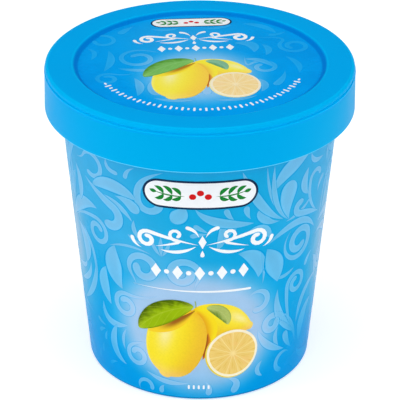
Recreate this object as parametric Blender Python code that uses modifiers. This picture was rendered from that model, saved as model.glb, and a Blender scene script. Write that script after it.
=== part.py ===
"""A shut sorbet cup: a tapered round tub with a lid pressed over its rim.

Units are metres and +Z is up. The origin is the middle of the base, on the table.
The pack is shut, so the tub is solid up to the underside of the lid.
Run it with blender --background --python part.py, or from the text editor.
"""

import math

import bpy
from mathutils import Color, Vector

MM = 0.001

# The whole pack
PACK_HEIGHT = 107.2 * MM
LID_RADIUS = 51.0 * MM
TURN_STEPS = 72
ARC_STEPS = 3
FIT_GAP = 0.3 * MM

# The lid: skirt, bead and groove, flat ring and sunk panel
LID_WALL = 1.1 * MM
SKIRT_BOTTOM_Z = 92.1 * MM
SKIRT_DRAFT = 0.2 * MM
SKIRT_EDGE_ROUND = 0.35 * MM
BEAD_TOP_Z = 105.05 * MM
BEAD_HEIGHT = 0.75 * MM
BEAD_PROUD = 0.1 * MM
GROOVE_HEIGHT = 0.7 * MM
GROOVE_DEPTH = 0.45 * MM
GROOVE_SLOPE = 0.2 * MM
SHOULDER_RADIUS = 50.55 * MM
SHOULDER_ROUND = 1.1 * MM
PANEL_RIM_RADIUS = 41.5 * MM
PANEL_RADIUS = 40.1 * MM
PANEL_DEPTH = 1.3 * MM
PANEL_EDGE_ROUND = 0.4 * MM

# The tub: straight tapered wall, rim under the lid, foot ring round a sunk base
TUB_BASE_RADIUS = 37.4 * MM
TUB_RADIUS_AT_SKIRT = 45.7 * MM
TUB_RIM_UNDER_Z = 94.5 * MM
TUB_CORNER_ROUND = 1.2 * MM
RIM_ROUND = 0.5 * MM
FOOT_RING_WIDTH = 2.8 * MM
BASE_DEPTH = 1.2 * MM
BASE_SLOPE = 0.8 * MM

# Finishes, as the print and the plastic look on screen
TUB_COLOUR = (0.13, 0.65, 0.89)
LID_COLOUR = (0.01, 0.66, 0.94)
TUB_ROUGHNESS = 0.32
LID_ROUGHNESS = 0.28


def clear_scene():
    """Remove every object that the file opened with."""
    for obj in list(bpy.data.objects):
        bpy.data.objects.remove(obj, do_unlink=True)


def new_collection(name):
    """A collection of that name, linked to the scene."""
    collection = bpy.data.collections.new(name)
    bpy.context.scene.collection.children.link(collection)
    return collection


def plastic(name, colour, roughness):
    """A glossy moulded plastic in one colour."""
    material = bpy.data.materials.new(name)
    material.use_nodes = True
    shader = material.node_tree.nodes["Principled BSDF"]
    linear = Color(colour).from_srgb_to_scene_linear()
    shader.inputs["Base Color"].default_value = (*linear, 1.0)
    shader.inputs["Roughness"].default_value = roughness
    shader.inputs["Metallic"].default_value = 0.0
    return material


def arc_round(before, corner, after, radius):
    """The points of the arc that rounds one corner between its two neighbours."""
    to_before = (before - corner).normalized()
    to_after = (after - corner).normalized()
    half_angle = to_before.angle(to_after) / 2
    middle = (to_before + to_after).normalized()
    centre = corner + middle * (radius / math.sin(half_angle))
    tangent = radius / math.tan(half_angle)
    start = corner + to_before * tangent - centre
    end = corner + to_after * tangent - centre
    first = math.atan2(start.y, start.x)
    sweep = math.remainder(math.atan2(end.y, end.x) - first, math.tau)
    points = []
    for step in range(ARC_STEPS + 1):
        angle = first + sweep * step / ARC_STEPS
        points.append(centre + radius * Vector((math.cos(angle), math.sin(angle))))
    return points


def round_outline(corners):
    """Outline points from corners of (radius from the axis, height, rounding)."""
    spots = [Vector(corner[:2]) for corner in corners]
    points = [spots[0]]
    for index in range(1, len(corners) - 1):
        rounding = corners[index][2]
        if rounding:
            points += arc_round(spots[index - 1], spots[index], spots[index + 1], rounding)
        else:
            points.append(spots[index])
    return points + [spots[-1]]


def turned(name, corners, material, collection):
    """An object turned about the Z axis from an outline that starts and ends on it."""
    points = [(spot.x, 0.0, spot.y) for spot in round_outline(corners)]
    edges = [(index, index + 1) for index in range(len(points) - 1)]
    mesh = bpy.data.meshes.new(name)
    mesh.from_pydata(points, edges, [])
    mesh.materials.append(material)
    obj = bpy.data.objects.new(name, mesh)
    collection.objects.link(obj)
    screw = obj.modifiers.new("turn", "SCREW")
    screw.steps = TURN_STEPS
    screw.render_steps = TURN_STEPS
    screw.use_merge_vertices = True
    screw.merge_threshold = 0.00001
    screw.use_smooth_shade = True
    return obj


def tub_radius(height):
    """Radius of the tub's tapered wall at a height."""
    spread = TUB_RADIUS_AT_SKIRT - TUB_BASE_RADIUS
    return TUB_BASE_RADIUS + spread * height / SKIRT_BOTTOM_Z


def build_lid(collection):
    """The lid: one thin moulding, open below, where the tub fills it."""
    panel_z = PACK_HEIGHT - PANEL_DEPTH
    groove_top_z = BEAD_TOP_Z + GROOVE_HEIGHT
    groove_radius = SHOULDER_RADIUS + BEAD_PROUD - GROOVE_DEPTH
    skirt_top_radius = LID_RADIUS - SKIRT_DRAFT
    inside_radius = LID_RADIUS - LID_WALL
    bead_radius = skirt_top_radius + BEAD_PROUD
    panel_under = under_panel_radii()
    corners = [
        (0.0, panel_z, 0.0),
        (PANEL_RADIUS, panel_z, PANEL_EDGE_ROUND),
        (PANEL_RIM_RADIUS, PACK_HEIGHT, PANEL_EDGE_ROUND),
        (SHOULDER_RADIUS, PACK_HEIGHT, SHOULDER_ROUND),
        (SHOULDER_RADIUS + BEAD_PROUD, groove_top_z, 0.0),
        (groove_radius, groove_top_z - GROOVE_SLOPE, 0.0),
        (groove_radius, BEAD_TOP_Z + GROOVE_SLOPE, 0.0),
        (bead_radius, BEAD_TOP_Z, 0.0),
        (skirt_top_radius, BEAD_TOP_Z - BEAD_HEIGHT, 0.0),
        (LID_RADIUS, SKIRT_BOTTOM_Z, SKIRT_EDGE_ROUND),
        (inside_radius, SKIRT_BOTTOM_Z, SKIRT_EDGE_ROUND),
        (inside_radius - SKIRT_DRAFT, PACK_HEIGHT - LID_WALL, RIM_ROUND),
        (panel_under[1], PACK_HEIGHT - LID_WALL, 0.0),
        (panel_under[0], panel_z - LID_WALL, 0.0),
        (0.0, panel_z - LID_WALL, 0.0),
    ]
    turned("lid", corners, plastic("lid_plastic", LID_COLOUR, LID_ROUGHNESS), collection)


def under_panel_radii():
    """Radii at the foot and the head of the slope under the lid's sunk panel."""
    slope_shift = LID_WALL / 2
    return PANEL_RADIUS + slope_shift, PANEL_RIM_RADIUS + slope_shift


def build_tub(collection):
    """The filled tub: solid from its sunk base to the underside of the lid."""
    top_z = PACK_HEIGHT - LID_WALL - FIT_GAP
    middle_z = top_z - PANEL_DEPTH
    rim_radius = LID_RADIUS - LID_WALL - SKIRT_DRAFT - FIT_GAP
    panel_foot, panel_head = under_panel_radii()
    foot_inner = TUB_BASE_RADIUS - TUB_CORNER_ROUND - FOOT_RING_WIDTH
    corners = [
        (0.0, middle_z, 0.0),
        (panel_foot + FIT_GAP, middle_z, 0.0),
        (panel_head + FIT_GAP, top_z, 0.0),
        (rim_radius, top_z, RIM_ROUND + FIT_GAP),
        (rim_radius, TUB_RIM_UNDER_Z, RIM_ROUND),
        (tub_radius(TUB_RIM_UNDER_Z), TUB_RIM_UNDER_Z, RIM_ROUND),
        (tub_radius(0.0), 0.0, TUB_CORNER_ROUND),
        (foot_inner, 0.0, 0.0),
        (foot_inner - BASE_SLOPE, BASE_DEPTH, 0.0),
        (0.0, BASE_DEPTH, 0.0),
    ]
    turned("tub", corners, plastic("tub_print", TUB_COLOUR, TUB_ROUGHNESS), collection)


def main():
    """Build the tub and its lid in a collection of their own."""
    clear_scene()
    collection = new_collection("sorbet_cup")
    build_tub(collection)
    build_lid(collection)


main()
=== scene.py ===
"""Looks of the shut sorbet cup: a printed tub, its pressed-on lid and a plain studio.

Sizes are in millimetres and angles in degrees. A mesh comes to the frame's metres when it is
finished. A print is drawn flat, x across and y up, and is then laid on the wall or on the lid.
"""

import logging
import math
from dataclasses import dataclass, replace
from enum import Enum
from typing import Callable, Protocol

import bmesh
import bpy
from mathutils import Color, Matrix, Vector


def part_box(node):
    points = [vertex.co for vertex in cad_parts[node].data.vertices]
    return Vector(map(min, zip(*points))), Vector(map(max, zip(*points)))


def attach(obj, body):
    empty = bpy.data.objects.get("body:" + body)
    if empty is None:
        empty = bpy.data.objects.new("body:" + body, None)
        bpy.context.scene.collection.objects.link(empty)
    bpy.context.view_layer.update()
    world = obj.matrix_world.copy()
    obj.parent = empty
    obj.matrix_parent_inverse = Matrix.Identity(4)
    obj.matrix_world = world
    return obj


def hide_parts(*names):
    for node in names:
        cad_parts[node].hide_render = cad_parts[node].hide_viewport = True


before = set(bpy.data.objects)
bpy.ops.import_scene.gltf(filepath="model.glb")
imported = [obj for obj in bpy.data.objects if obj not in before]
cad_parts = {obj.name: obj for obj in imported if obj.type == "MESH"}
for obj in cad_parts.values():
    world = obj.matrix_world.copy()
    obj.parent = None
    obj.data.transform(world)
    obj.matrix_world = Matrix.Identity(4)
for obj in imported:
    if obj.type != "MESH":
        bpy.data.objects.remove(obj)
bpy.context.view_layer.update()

LOG = logging.getLogger("sorbet_cup")

MM = 0.001
BODY = "root"
BRUSH_MAP = "brush"
EYE_GAMMA = 2.2

# A step across the wall's print is this radius times the angle, whatever the height.
WRAP_RADIUS = 41.5
BACK_SHIFT = math.pi * WRAP_RADIUS

# Turned pieces
SPIN_STEPS = 288
CORNER_STEPS = 6
MERGE_DISTANCE = 0.001
SHARP_ANGLE = 35.0

# Printed strokes
STEP_ALONG = 0.8
STEP_ACROSS = 1.5
FEWEST_STEPS = 14
LAYER_LIFT = 0.02
TURN_TAKING_LIFT = 0.004
TURN_TAKING = 4
PRINT_SUNK = 0.03
STEPS_PER_TURN = 90
FEWEST_CURL_STEPS = 8
TAIL_PULL = 0.55

# How the widths of the printed strokes run
SCROLL_GROWN_AT = 0.5
SCROLL_START = 0.8
DROP_POWER = 1.3
LEAF_POWER = 0.9
BROAD_LEAF_POWER = 0.62
LEMON_LENGTH = 0.955
LEMON_POWER = 2.25
TAPERED_POWER = 0.78
NIPPLE_WIDTH = 0.22
NIPPLE_ROUND = 0.05
NIPPLE_FROM = 0.8
NIPPLE_BLEND = 2.6
WEDGE_ROUND = 0.07

Point = tuple[float, float]
# What Board.span takes after a value: from, to, and what these become if not 0 and 1
Span = tuple[float, ...]
# A middle, and how far the glow reaches across and up from it
Glow = tuple[Point, Point]
Rgba = tuple[float, float, float, float]
Socket = bpy.types.NodeSocket

# The middle of a noise's values, and of a stroke's width
MIDDLE = 0.5
GLOW_FALL = 1.4

# Plastic and ink all over the pack; a noise's scale is per metre
FINE_WAVE_SCALE = 2600.0
FINE_WAVE_SHARE = 0.2
SMUDGE_SCALE = 70.0
SMUDGE: Span = (0.35, 0.7, -0.03, 0.05)
PATCH_SCALE = 160.0
PATCH_DEPTH = 1.4
DOT_SCALE = 1500.0
DOT_DEPTH = 0.5


def screen(red: float, green: float, blue: float) -> Rgba:
    """Turn a screen colour into the linear one that a shader takes.

    Args:
        red: Red from 0 to 255, as a colour picker shows it.
        green: Green from 0 to 255.
        blue: Blue from 0 to 255.

    Returns:
        The linear colour with full alpha.
    """
    linear = Color((red / 255, green / 255, blue / 255)).from_srgb_to_scene_linear()
    return (linear.r, linear.g, linear.b, 1.0)


class Board:
    """A node tree that is wired by short calls, each giving back the socket it made."""

    def __init__(self, tree: bpy.types.NodeTree) -> None:
        """Take the tree to wire."""
        self.tree = tree

    def node(self, kind: str, inputs: dict | None = None, **settings: object) -> bpy.types.Node:
        """Add a node and feed it.

        Args:
            kind: The node's type.
            inputs: A socket or a plain value for each input, by name or number.
            settings: The node's own properties.

        Returns:
            The new node.
        """
        made = self.tree.nodes.new(kind)
        for name, value in settings.items():
            setattr(made, name, value)
        for key, value in (inputs or {}).items():
            if isinstance(value, Socket):
                self.tree.links.new(value, made.inputs[key])
            else:
                made.inputs[key].default_value = value
        return made

    def math(self, operation: str, *values: object) -> Socket:
        """Work out one number from up to three.

        Args:
            operation: The Math node's operation.
            values: Sockets or numbers, in order.

        Returns:
            The result.
        """
        inputs = dict(enumerate(values))
        return self.node("ShaderNodeMath", inputs, operation=operation).outputs[0]

    def times(self, first: object, second: object) -> Socket:
        """Multiply two numbers."""
        return self.math("MULTIPLY", first, second)

    def plus(self, first: object, second: object) -> Socket:
        """Add two numbers."""
        return self.math("ADD", first, second)

    def less(self, first: object, second: object) -> Socket:
        """Take the second number from the first."""
        return self.math("SUBTRACT", first, second)

    def away(self, value: object, middle: float) -> Socket:
        """How far a number is from a middle, to either side."""
        return self.math("ABSOLUTE", self.less(value, middle))

    def most(self, first: object, *others: object) -> object:
        """Find the largest of some numbers.

        Args:
            first: The first number.
            others: The other ones.

        Returns:
            The largest.
        """
        for other in others:
            first = self.math("MAXIMUM", first, other)
        return first

    def mix(self, share: object, first: object, second: object) -> Socket:
        """Blend two colours.

        Args:
            share: How much of the second colour shows, from 0 to 1.
            first: The colour at 0.
            second: The colour at 1.

        Returns:
            The blended colour.
        """
        inputs = {0: share, 6: first, 7: second}
        return self.node("ShaderNodeMix", inputs, data_type="RGBA").outputs[2]

    def blend(self, share: object, first: object, second: object) -> Socket:
        """Blend two colours in steps that look even, as thin ink over another ink does.

        Args:
            share: How much of the second colour shows, from 0 to 1.
            first: The colour at 0.
            second: The colour at 1.

        Returns:
            The blended colour.
        """
        gamma = "ShaderNodeGamma"
        seen = [self.node(gamma, {0: colour, 1: 1 / EYE_GAMMA}).outputs[0] for colour in (first, second)]
        return self.node(gamma, {0: self.mix(share, *seen), 1: EYE_GAMMA}).outputs[0]

    def shade(self, colour: object, factor: Socket) -> Socket:
        """Make a colour lighter or darker.

        Args:
            colour: The colour.
            factor: The number that it is multiplied by.

        Returns:
            The shaded colour.
        """
        grey = self.node("ShaderNodeCombineColor", {0: factor, 1: factor, 2: factor}).outputs[0]
        inputs = {0: 1.0, 6: colour, 7: grey}
        return self.node("ShaderNodeMix", inputs, data_type="RGBA", blend_type="MULTIPLY").outputs[2]

    def span(
        self, value: object, low: float, high: float, to_low: float = 0.0, to_high: float = 1.0
    ) -> Socket:
        """Ease a value from one range to another and hold it at the ends.

        Args:
            value: The value to map.
            low: Where the range starts.
            high: Where the range ends.
            to_low: What the start becomes.
            to_high: What the end becomes.

        Returns:
            The mapped value.
        """
        inputs = {0: value, 1: low, 2: high, 3: to_low, 4: to_high}
        kind = "ShaderNodeMapRange"
        return self.node(kind, inputs, interpolation_type="SMOOTHSTEP").outputs[0]

    def washed(self, colour: object, *washes: tuple) -> Socket:
        """Lay inks over a colour one after another, each where a value is in a range.

        Args:
            colour: The colour below.
            washes: For each ink its colour, and then what span takes.

        Returns:
            The colour with all the inks on it.
        """
        for ink, *spanned in washes:
            colour = self.mix(self.span(*spanned), colour, ink)
        return colour

    def noise(self, vector: Socket, scale: object, detail: float = 3.0) -> Socket:
        """Lay a soft noise over a surface.

        Args:
            vector: The coordinates that it is laid by.
            scale: Its scale in those coordinates.
            detail: How many finer layers it has.

        Returns:
            The noise, about 0.5 on average.
        """
        inputs = {"Vector": vector, "Scale": scale, "Detail": detail}
        return self.node("ShaderNodeTexNoise", inputs).outputs["Fac"]

    def place(self) -> Socket:
        """The surface's place on the object, in metres."""
        return self.node("ShaderNodeTexCoord").outputs["Object"]

    def parts(self, vector: Socket) -> list[Socket]:
        """The three numbers of a vector."""
        return list(self.node("ShaderNodeSeparateXYZ", {0: vector}).outputs)

    def brush(self) -> list[Socket]:
        """How far along and how far across a printed stroke a place is, from 0 to 1."""
        uv = self.node("ShaderNodeUVMap", uv_map=BRUSH_MAP).outputs[0]
        return self.parts(uv)[:2]

    def nearness(self, x: Socket, y: Socket, middle: Point, reach: Point) -> Socket:
        """How near a place is to a middle, falling off softly like a glow.

        Args:
            x: Where the place is across.
            y: Where it is up.
            middle: The middle.
            reach: The distances, across and up, at which the glow has mostly gone.

        Returns:
            One at the middle, near zero past the reach.
        """
        squares = []
        for value, centre, limit in zip((x, y), middle, reach):
            share = self.math("DIVIDE", self.away(value, centre), limit)
            squares.append(self.math("POWER", share, 2.0))
        return self.math("EXPONENT", self.times(self.plus(*squares), -GLOW_FALL))


class Effect(Enum):
    """Node groups that several finishes share, each built once."""

    WALL_PLACE = "wall_place"
    MOULDED_SKIN = "moulded_skin"
    WALL_GROUND = "wall_ground"
    PANEL_GROUND = "panel_ground"
    INK_GRAIN = "ink_grain"

    def use(self, board: Board, **values: object) -> bpy.types.Node:
        """Put the group on a board.

        Args:
            board: The board that it goes on.
            values: Values for its named inputs, with _ for a space.

        Returns:
            The group node.
        """
        tree = bpy.data.node_groups.get(self.value) or self.build()
        inputs = {name.replace("_", " "): value for name, value in values.items()}
        made = board.node("ShaderNodeGroup", node_tree=tree)
        for name, value in inputs.items():
            if isinstance(value, Socket):
                board.tree.links.new(value, made.inputs[name])
            else:
                made.inputs[name].default_value = value
        return made

    def build(self) -> bpy.types.NodeTree:
        """Make the group's node tree.

        Returns:
            The tree, wired from its named inputs to its named outputs.
        """
        recipe = EFFECT_RECIPES[self]
        tree = bpy.data.node_groups.new(self.value, "ShaderNodeTree")
        for name, value in recipe.inputs.items():
            kind = "NodeSocketFloat" if isinstance(value, float) else "NodeSocketColor"
            socket = tree.interface.new_socket(name, in_out="INPUT", socket_type=kind)
            socket.default_value = value
        for name, kind in recipe.outputs.items():
            tree.interface.new_socket(name, in_out="OUTPUT", socket_type=kind)
        board = Board(tree)
        source = tree.nodes.new("NodeGroupInput")
        results = recipe.wire(board, source.outputs)
        sink = tree.nodes.new("NodeGroupOutput")
        for name, socket in zip(recipe.outputs, results):
            tree.links.new(socket, sink.inputs[name])
        return tree


@dataclass(frozen=True)
class Recipe:
    """What a shared node group takes, what it gives and how it is wired."""

    inputs: dict[str, object]
    outputs: dict[str, str]
    wire: Callable[[Board, bpy.types.NodeOutputs], list[Socket]]


def wire_wall_place(board: Board, given: bpy.types.NodeOutputs) -> list[Socket]:
    """Find where on the wall's print a place is; the front's and the back's print count alike.

    Args:
        board: The group's board.
        given: The group's inputs, none here.

    Returns:
        Millimetres across from the middle of the print, and up from the table.
    """
    x, y, z = board.parts(board.place())
    angle = board.math("ARCTAN2", x, board.times(y, -1.0))
    across = board.times(angle, WRAP_RADIUS)
    half = BACK_SHIFT / 2
    return [board.math("WRAP", across, half, -half), board.math("DIVIDE", z, MM)]


def wire_moulded_skin(board: Board, given: bpy.types.NodeOutputs) -> list[Socket]:
    """Give moulded plastic its faint waviness and its uneven gloss.

    Args:
        board: The group's board.
        given: The group's inputs: the wave's scale and the plain roughness.

    Returns:
        The roughness, and a height for a bump.
    """
    place = board.place()
    wave = board.noise(place, given["Wave Scale"], 2.0)
    fine = board.noise(place, FINE_WAVE_SCALE, 2.0)
    smudge = board.span(board.noise(place, SMUDGE_SCALE, 4.0), *SMUDGE)
    height = board.plus(board.times(wave, 1 - FINE_WAVE_SHARE), board.times(fine, FINE_WAVE_SHARE))
    return [board.plus(given["Roughness"], smudge), height]


def wire_ink_grain(board: Board, given: bpy.types.NodeOutputs) -> list[Socket]:
    """Make printed ink a little lighter and darker in soft patches and in fine dots.

    Args:
        board: The group's board.
        given: The group's inputs: the ink's colour and how uneven it is.

    Returns:
        The uneven colour.
    """
    place = board.place()
    patch = board.less(board.noise(place, PATCH_SCALE), MIDDLE)
    dots = board.less(board.noise(place, DOT_SCALE, 1.0), MIDDLE)
    uneven = board.plus(board.times(patch, PATCH_DEPTH), board.times(dots, DOT_DEPTH))
    return [board.shade(given["Ink"], board.plus(board.times(uneven, given["Unevenness"]), 1.0))]


@dataclass(frozen=True)
class WallTones:
    """Where the wall's blue changes, in millimetres of the print."""

    cloud_scale: float = 45.0
    cloud_lift: float = 22.0
    foot: Span = (2.0, 42.0)
    top: Span = (38.0, 80.0)
    # Painted light from the side: the upper blue grows paler away from this place across, so the left side
    # is paler
    side_light_middle: float = 5.0
    side: Span = (12.0, 40.0)
    # A painted shadow under the lid's skirt: a deeper blue over the top few millimetres of the wall
    head: Span = (87.0, 93.0, 0.0, 0.5)
    # Painted sheen: a pale band where the wall turns away at either side, strongest halfway up
    sheen_foot: Span = (14.0, 46.0)
    sheen_head: Span = (78.0, 50.0)
    sheen_near: Span = (38.0, 55.0)
    sheen_far: Span = (54.0, 65.0, 1.0, 0.3)
    glow: Glow = ((-0.9, 27.0), (34.0, 30.0))
    glow_lean: float = 0.07
    glow_share: Span = (0.2, 0.58, 0.0, 0.95)
    foot_dim: Span = (-2.0, 16.0, 0.62, 1.0)
    haze: Glow = ((-15.5, 52.5), (16.0, 14.0))
    haze_share: float = 0.32
    scroll_rise: Span = (6.0, 36.0, 0.22, 1.0)
    scroll_glow: Span = (0.02, 0.25)
    far_aside: Span = (44.0, 52.0)
    high_up: Span = (56.0, 70.0)
    scroll_fade: float = 0.55


@dataclass(frozen=True)
class PanelTones:
    """Where the lid panel's blue changes, as in WallTones."""

    cloud_scale: float = 60.0
    cloud: Span = (0.35, 0.65)
    glow: Glow = ((0.0, -9.0), (23.5, 25.0))
    glow_share: Span = (0.14, 0.7)
    haze: Glow = ((-5.0, 18.0), (24.0, 26.0))
    haze_share: float = 0.34
    scrolls: Span = (0.0, 0.4, 0.42, 1.0)


def wire_wall_ground(board: Board, given: bpy.types.NodeOutputs) -> list[Socket]:
    """Colour the wall's blue: paler at the top, deeper at the foot, glowing behind the fruit, with painted
    light and painted sheen towards the sides and a painted shadow under the lid.

    Args:
        board: The group's board.
        given: The group's inputs: the colours.

    Returns:
        The ground's colour, and how strongly the scrolls show on it.
    """
    tones = WallTones()
    place = Effect.WALL_PLACE.use(board)
    across, up = place.outputs[0], place.outputs[1]
    beside = board.away(across, 0.0)
    cloud = board.less(board.noise(board.place(), tones.cloud_scale), MIDDLE)
    level = board.plus(up, board.times(cloud, tones.cloud_lift))
    lower = board.mix(board.span(level, *tones.foot), given["Foot"], given["Middle"])
    # Painted light from the side, paler towards the sides up high
    aside = board.away(across, tones.side_light_middle)
    upper = board.mix(board.span(aside, *tones.side), given["Top"], given["Side"])
    plain = board.mix(board.span(level, *tones.top), lower, upper)
    # Painted sheen towards the sides, halfway up the wall
    sheen_height = board.times(board.span(up, *tones.sheen_foot), board.span(up, *tones.sheen_head))
    sheen_aside = board.times(board.span(beside, *tones.sheen_near), board.span(beside, *tones.sheen_far))
    plain = board.blend(board.times(sheen_aside, sheen_height), plain, given["Painted Sheen"])
    # Painted shadow under the lid's skirt
    plain = board.mix(board.span(up, *tones.head), plain, given["Painted Lid Shadow"])
    rise = board.less(up, tones.glow[0][1])
    leaning = board.math("MULTIPLY_ADD", rise, tones.glow_lean, across)
    glow = board.nearness(leaning, up, *tones.glow)
    bright = board.times(board.span(glow, *tones.glow_share), board.span(up, *tones.foot_dim))
    haze = board.times(board.nearness(across, up, *tones.haze), tones.haze_share)
    scrolls = board.most(board.span(up, *tones.scroll_rise), board.span(glow, *tones.scroll_glow))
    high_aside = board.times(board.span(beside, *tones.far_aside), board.span(up, *tones.high_up))
    shown = board.math("MULTIPLY_ADD", high_aside, -tones.scroll_fade, 1.0)
    return [board.blend(board.most(bright, haze), plain, given["Glow"]), board.times(scrolls, shown)]


def wire_panel_ground(board: Board, given: bpy.types.NodeOutputs) -> list[Socket]:
    """Colour the lid's sunk panel: a deep blue with a soft glow round the fruit.

    Args:
        board: The group's board.
        given: The group's inputs: the colours.

    Returns:
        The ground's colour, and how strongly the scrolls show on it.
    """
    tones = PanelTones()
    x, y, _ = board.parts(board.place())
    across, up = board.math("DIVIDE", x, MM), board.math("DIVIDE", y, MM)
    cloud = board.noise(board.place(), tones.cloud_scale)
    plain = board.mix(board.span(cloud, *tones.cloud), given["Deep"], given["Plain"])
    glow = board.nearness(across, up, *tones.glow)
    haze = board.times(board.nearness(across, up, *tones.haze), tones.haze_share)
    bright = board.most(board.span(glow, *tones.glow_share), haze)
    return [board.blend(bright, plain, given["Glow"]), board.span(glow, *tones.scrolls)]


EFFECT_RECIPES = {
    Effect.WALL_PLACE: Recipe(
        {}, {"Across": "NodeSocketFloat", "Up": "NodeSocketFloat"}, wire_wall_place
    ),
    Effect.MOULDED_SKIN: Recipe(
        {"Wave Scale": 90.0, "Roughness": 0.3},
        {"Roughness": "NodeSocketFloat", "Height": "NodeSocketFloat"},
        wire_moulded_skin,
    ),
    Effect.INK_GRAIN: Recipe(
        {"Ink": screen(255, 255, 255), "Unevenness": 0.1},
        {"Color": "NodeSocketColor"},
        wire_ink_grain,
    ),
    Effect.WALL_GROUND: Recipe(
        {
            "Foot": screen(0, 154, 226),
            "Middle": screen(12, 167, 228),
            "Top": screen(28, 171, 226),
            # The painted side light on the upper wall
            "Side": screen(62, 175, 228),
            # The painted sheen at the wall's far sides
            "Painted Sheen": screen(140, 188, 222),
            # The painted shadow under the lid
            "Painted Lid Shadow": screen(74, 140, 200),
            "Glow": screen(172, 203, 237),
        },
        {"Color": "NodeSocketColor", "Scrolls": "NodeSocketFloat"},
        wire_wall_ground,
    ),
    Effect.PANEL_GROUND: Recipe(
        {
            "Deep": screen(0, 155, 238),
            "Plain": screen(0, 161, 242),
            "Glow": screen(134, 197, 243),
        },
        {"Color": "NodeSocketColor", "Scrolls": "NodeSocketFloat"},
        wire_panel_ground,
    ),
}


@dataclass(frozen=True)
class Gloss:
    """The numbers that a finish sets straight on its shader."""

    roughness: float = 0.26
    specular: float = 0.012
    tint: Rgba = (0.0, 0.6, 1.0, 1.0)
    wave_scale: float = 90.0
    wave_depth: float = 0.02


PRINT_GLOSS = Gloss()
PANEL_GLOSS = Gloss(specular=0.02)
PALE_GLOSS = Gloss(roughness=0.32, specular=0.12, tint=(1.0, 1.0, 1.0, 1.0))
LEAF_GLOSS = Gloss(roughness=0.34, specular=0.05, tint=(1.0, 1.0, 0.4, 1.0))


@dataclass(frozen=True)
class Finish:
    """A moulded or printed surface. Its kinds differ in how they colour it."""

    name: str
    gloss: Gloss = PRINT_GLOSS

    def colour(self, board: Board) -> Socket:
        """The surface's colour, which each kind of finish wires its own way."""
        raise NotImplementedError(self.name)

    def material(self) -> bpy.types.Material:
        """Make the finish's material, or find it if it was made before.

        Returns:
            A material with the finish's colour, gloss and faint waviness.
        """
        known = bpy.data.materials.get(self.name)
        if known:
            return known
        material = bpy.data.materials.new(self.name)
        material.use_nodes = True
        board = Board(material.node_tree)
        shader = material.node_tree.nodes["Principled BSDF"]
        skin = Effect.MOULDED_SKIN.use(
            board, Wave_Scale=self.gloss.wave_scale, Roughness=self.gloss.roughness
        )
        bump = board.node("ShaderNodeBump", {"Height": skin.outputs["Height"]})
        bump.inputs["Strength"].default_value = 1.0
        bump.inputs["Distance"].default_value = self.gloss.wave_depth * MM
        board.tree.links.new(self.colour(board), shader.inputs["Base Color"])
        board.tree.links.new(skin.outputs["Roughness"], shader.inputs["Roughness"])
        board.tree.links.new(bump.outputs[0], shader.inputs["Normal"])
        shader.inputs["Specular IOR Level"].default_value = self.gloss.specular
        shader.inputs["Specular Tint"].default_value = self.gloss.tint
        return material


@dataclass(frozen=True)
class PlainInk(Finish):
    """One ink, a little uneven."""

    ink: Rgba = screen(255, 255, 255)
    unevenness: float = 0.08

    def colour(self, board: Board) -> Socket:
        """The ink with its grain."""
        return Effect.INK_GRAIN.use(board, Ink=self.ink, Unevenness=self.unevenness).outputs[0]


@dataclass(frozen=True)
class GroundInk(Finish):
    """The blue that a print stands on."""

    ground: Effect = Effect.WALL_GROUND

    def colour(self, board: Board) -> Socket:
        """The ground's colour with its grain."""
        ground = self.ground.use(board).outputs[0]
        return Effect.INK_GRAIN.use(board, Ink=ground, Unevenness=0.1).outputs[0]


@dataclass(frozen=True)
class ScrollInk(GroundInk):
    """The see-through pale ink of the scrolls: a clear rim inside a thin deeper edge."""

    pale: Rgba = screen(172, 205, 238)
    clear: Rgba = screen(156, 211, 248)
    deep: Rgba = screen(0, 142, 218)
    body: float = 0.52
    rim: float = 0.6
    edge: float = 0.45
    rim_from: Span = (0.12, 0.36)
    pale_start: Span = (0.0, 0.35, 0.82, 1.0)
    ink_end: Span = (0.39, 0.45, 1.0, 0.0)
    edge_from: Point = (0.41, 0.46)

    def colour(self, board: Board) -> Socket:
        """Wire the pale ink over the ground.

        Args:
            board: The material's board.

        Returns:
            The ink's colour.
        """
        along, across = board.brush()
        ground = self.ground.use(board)
        from_middle = board.away(across, MIDDLE)
        to_rim = board.span(from_middle, *self.rim_from)
        ink = board.mix(to_rim, self.pale, self.clear)
        share = board.math("MULTIPLY_ADD", to_rim, self.rim - self.body, self.body)
        share = board.times(share, board.span(along, *self.pale_start))
        share = board.times(share, board.span(from_middle, *self.ink_end))
        share = board.times(share, ground.outputs["Scrolls"])
        edge = board.span(from_middle, *self.edge_from, 0.0, self.edge)
        below = board.blend(edge, ground.outputs["Color"], self.deep)
        inked = board.blend(share, below, ink)
        return Effect.INK_GRAIN.use(board, Ink=inked, Unevenness=0.1).outputs[0]


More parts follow.
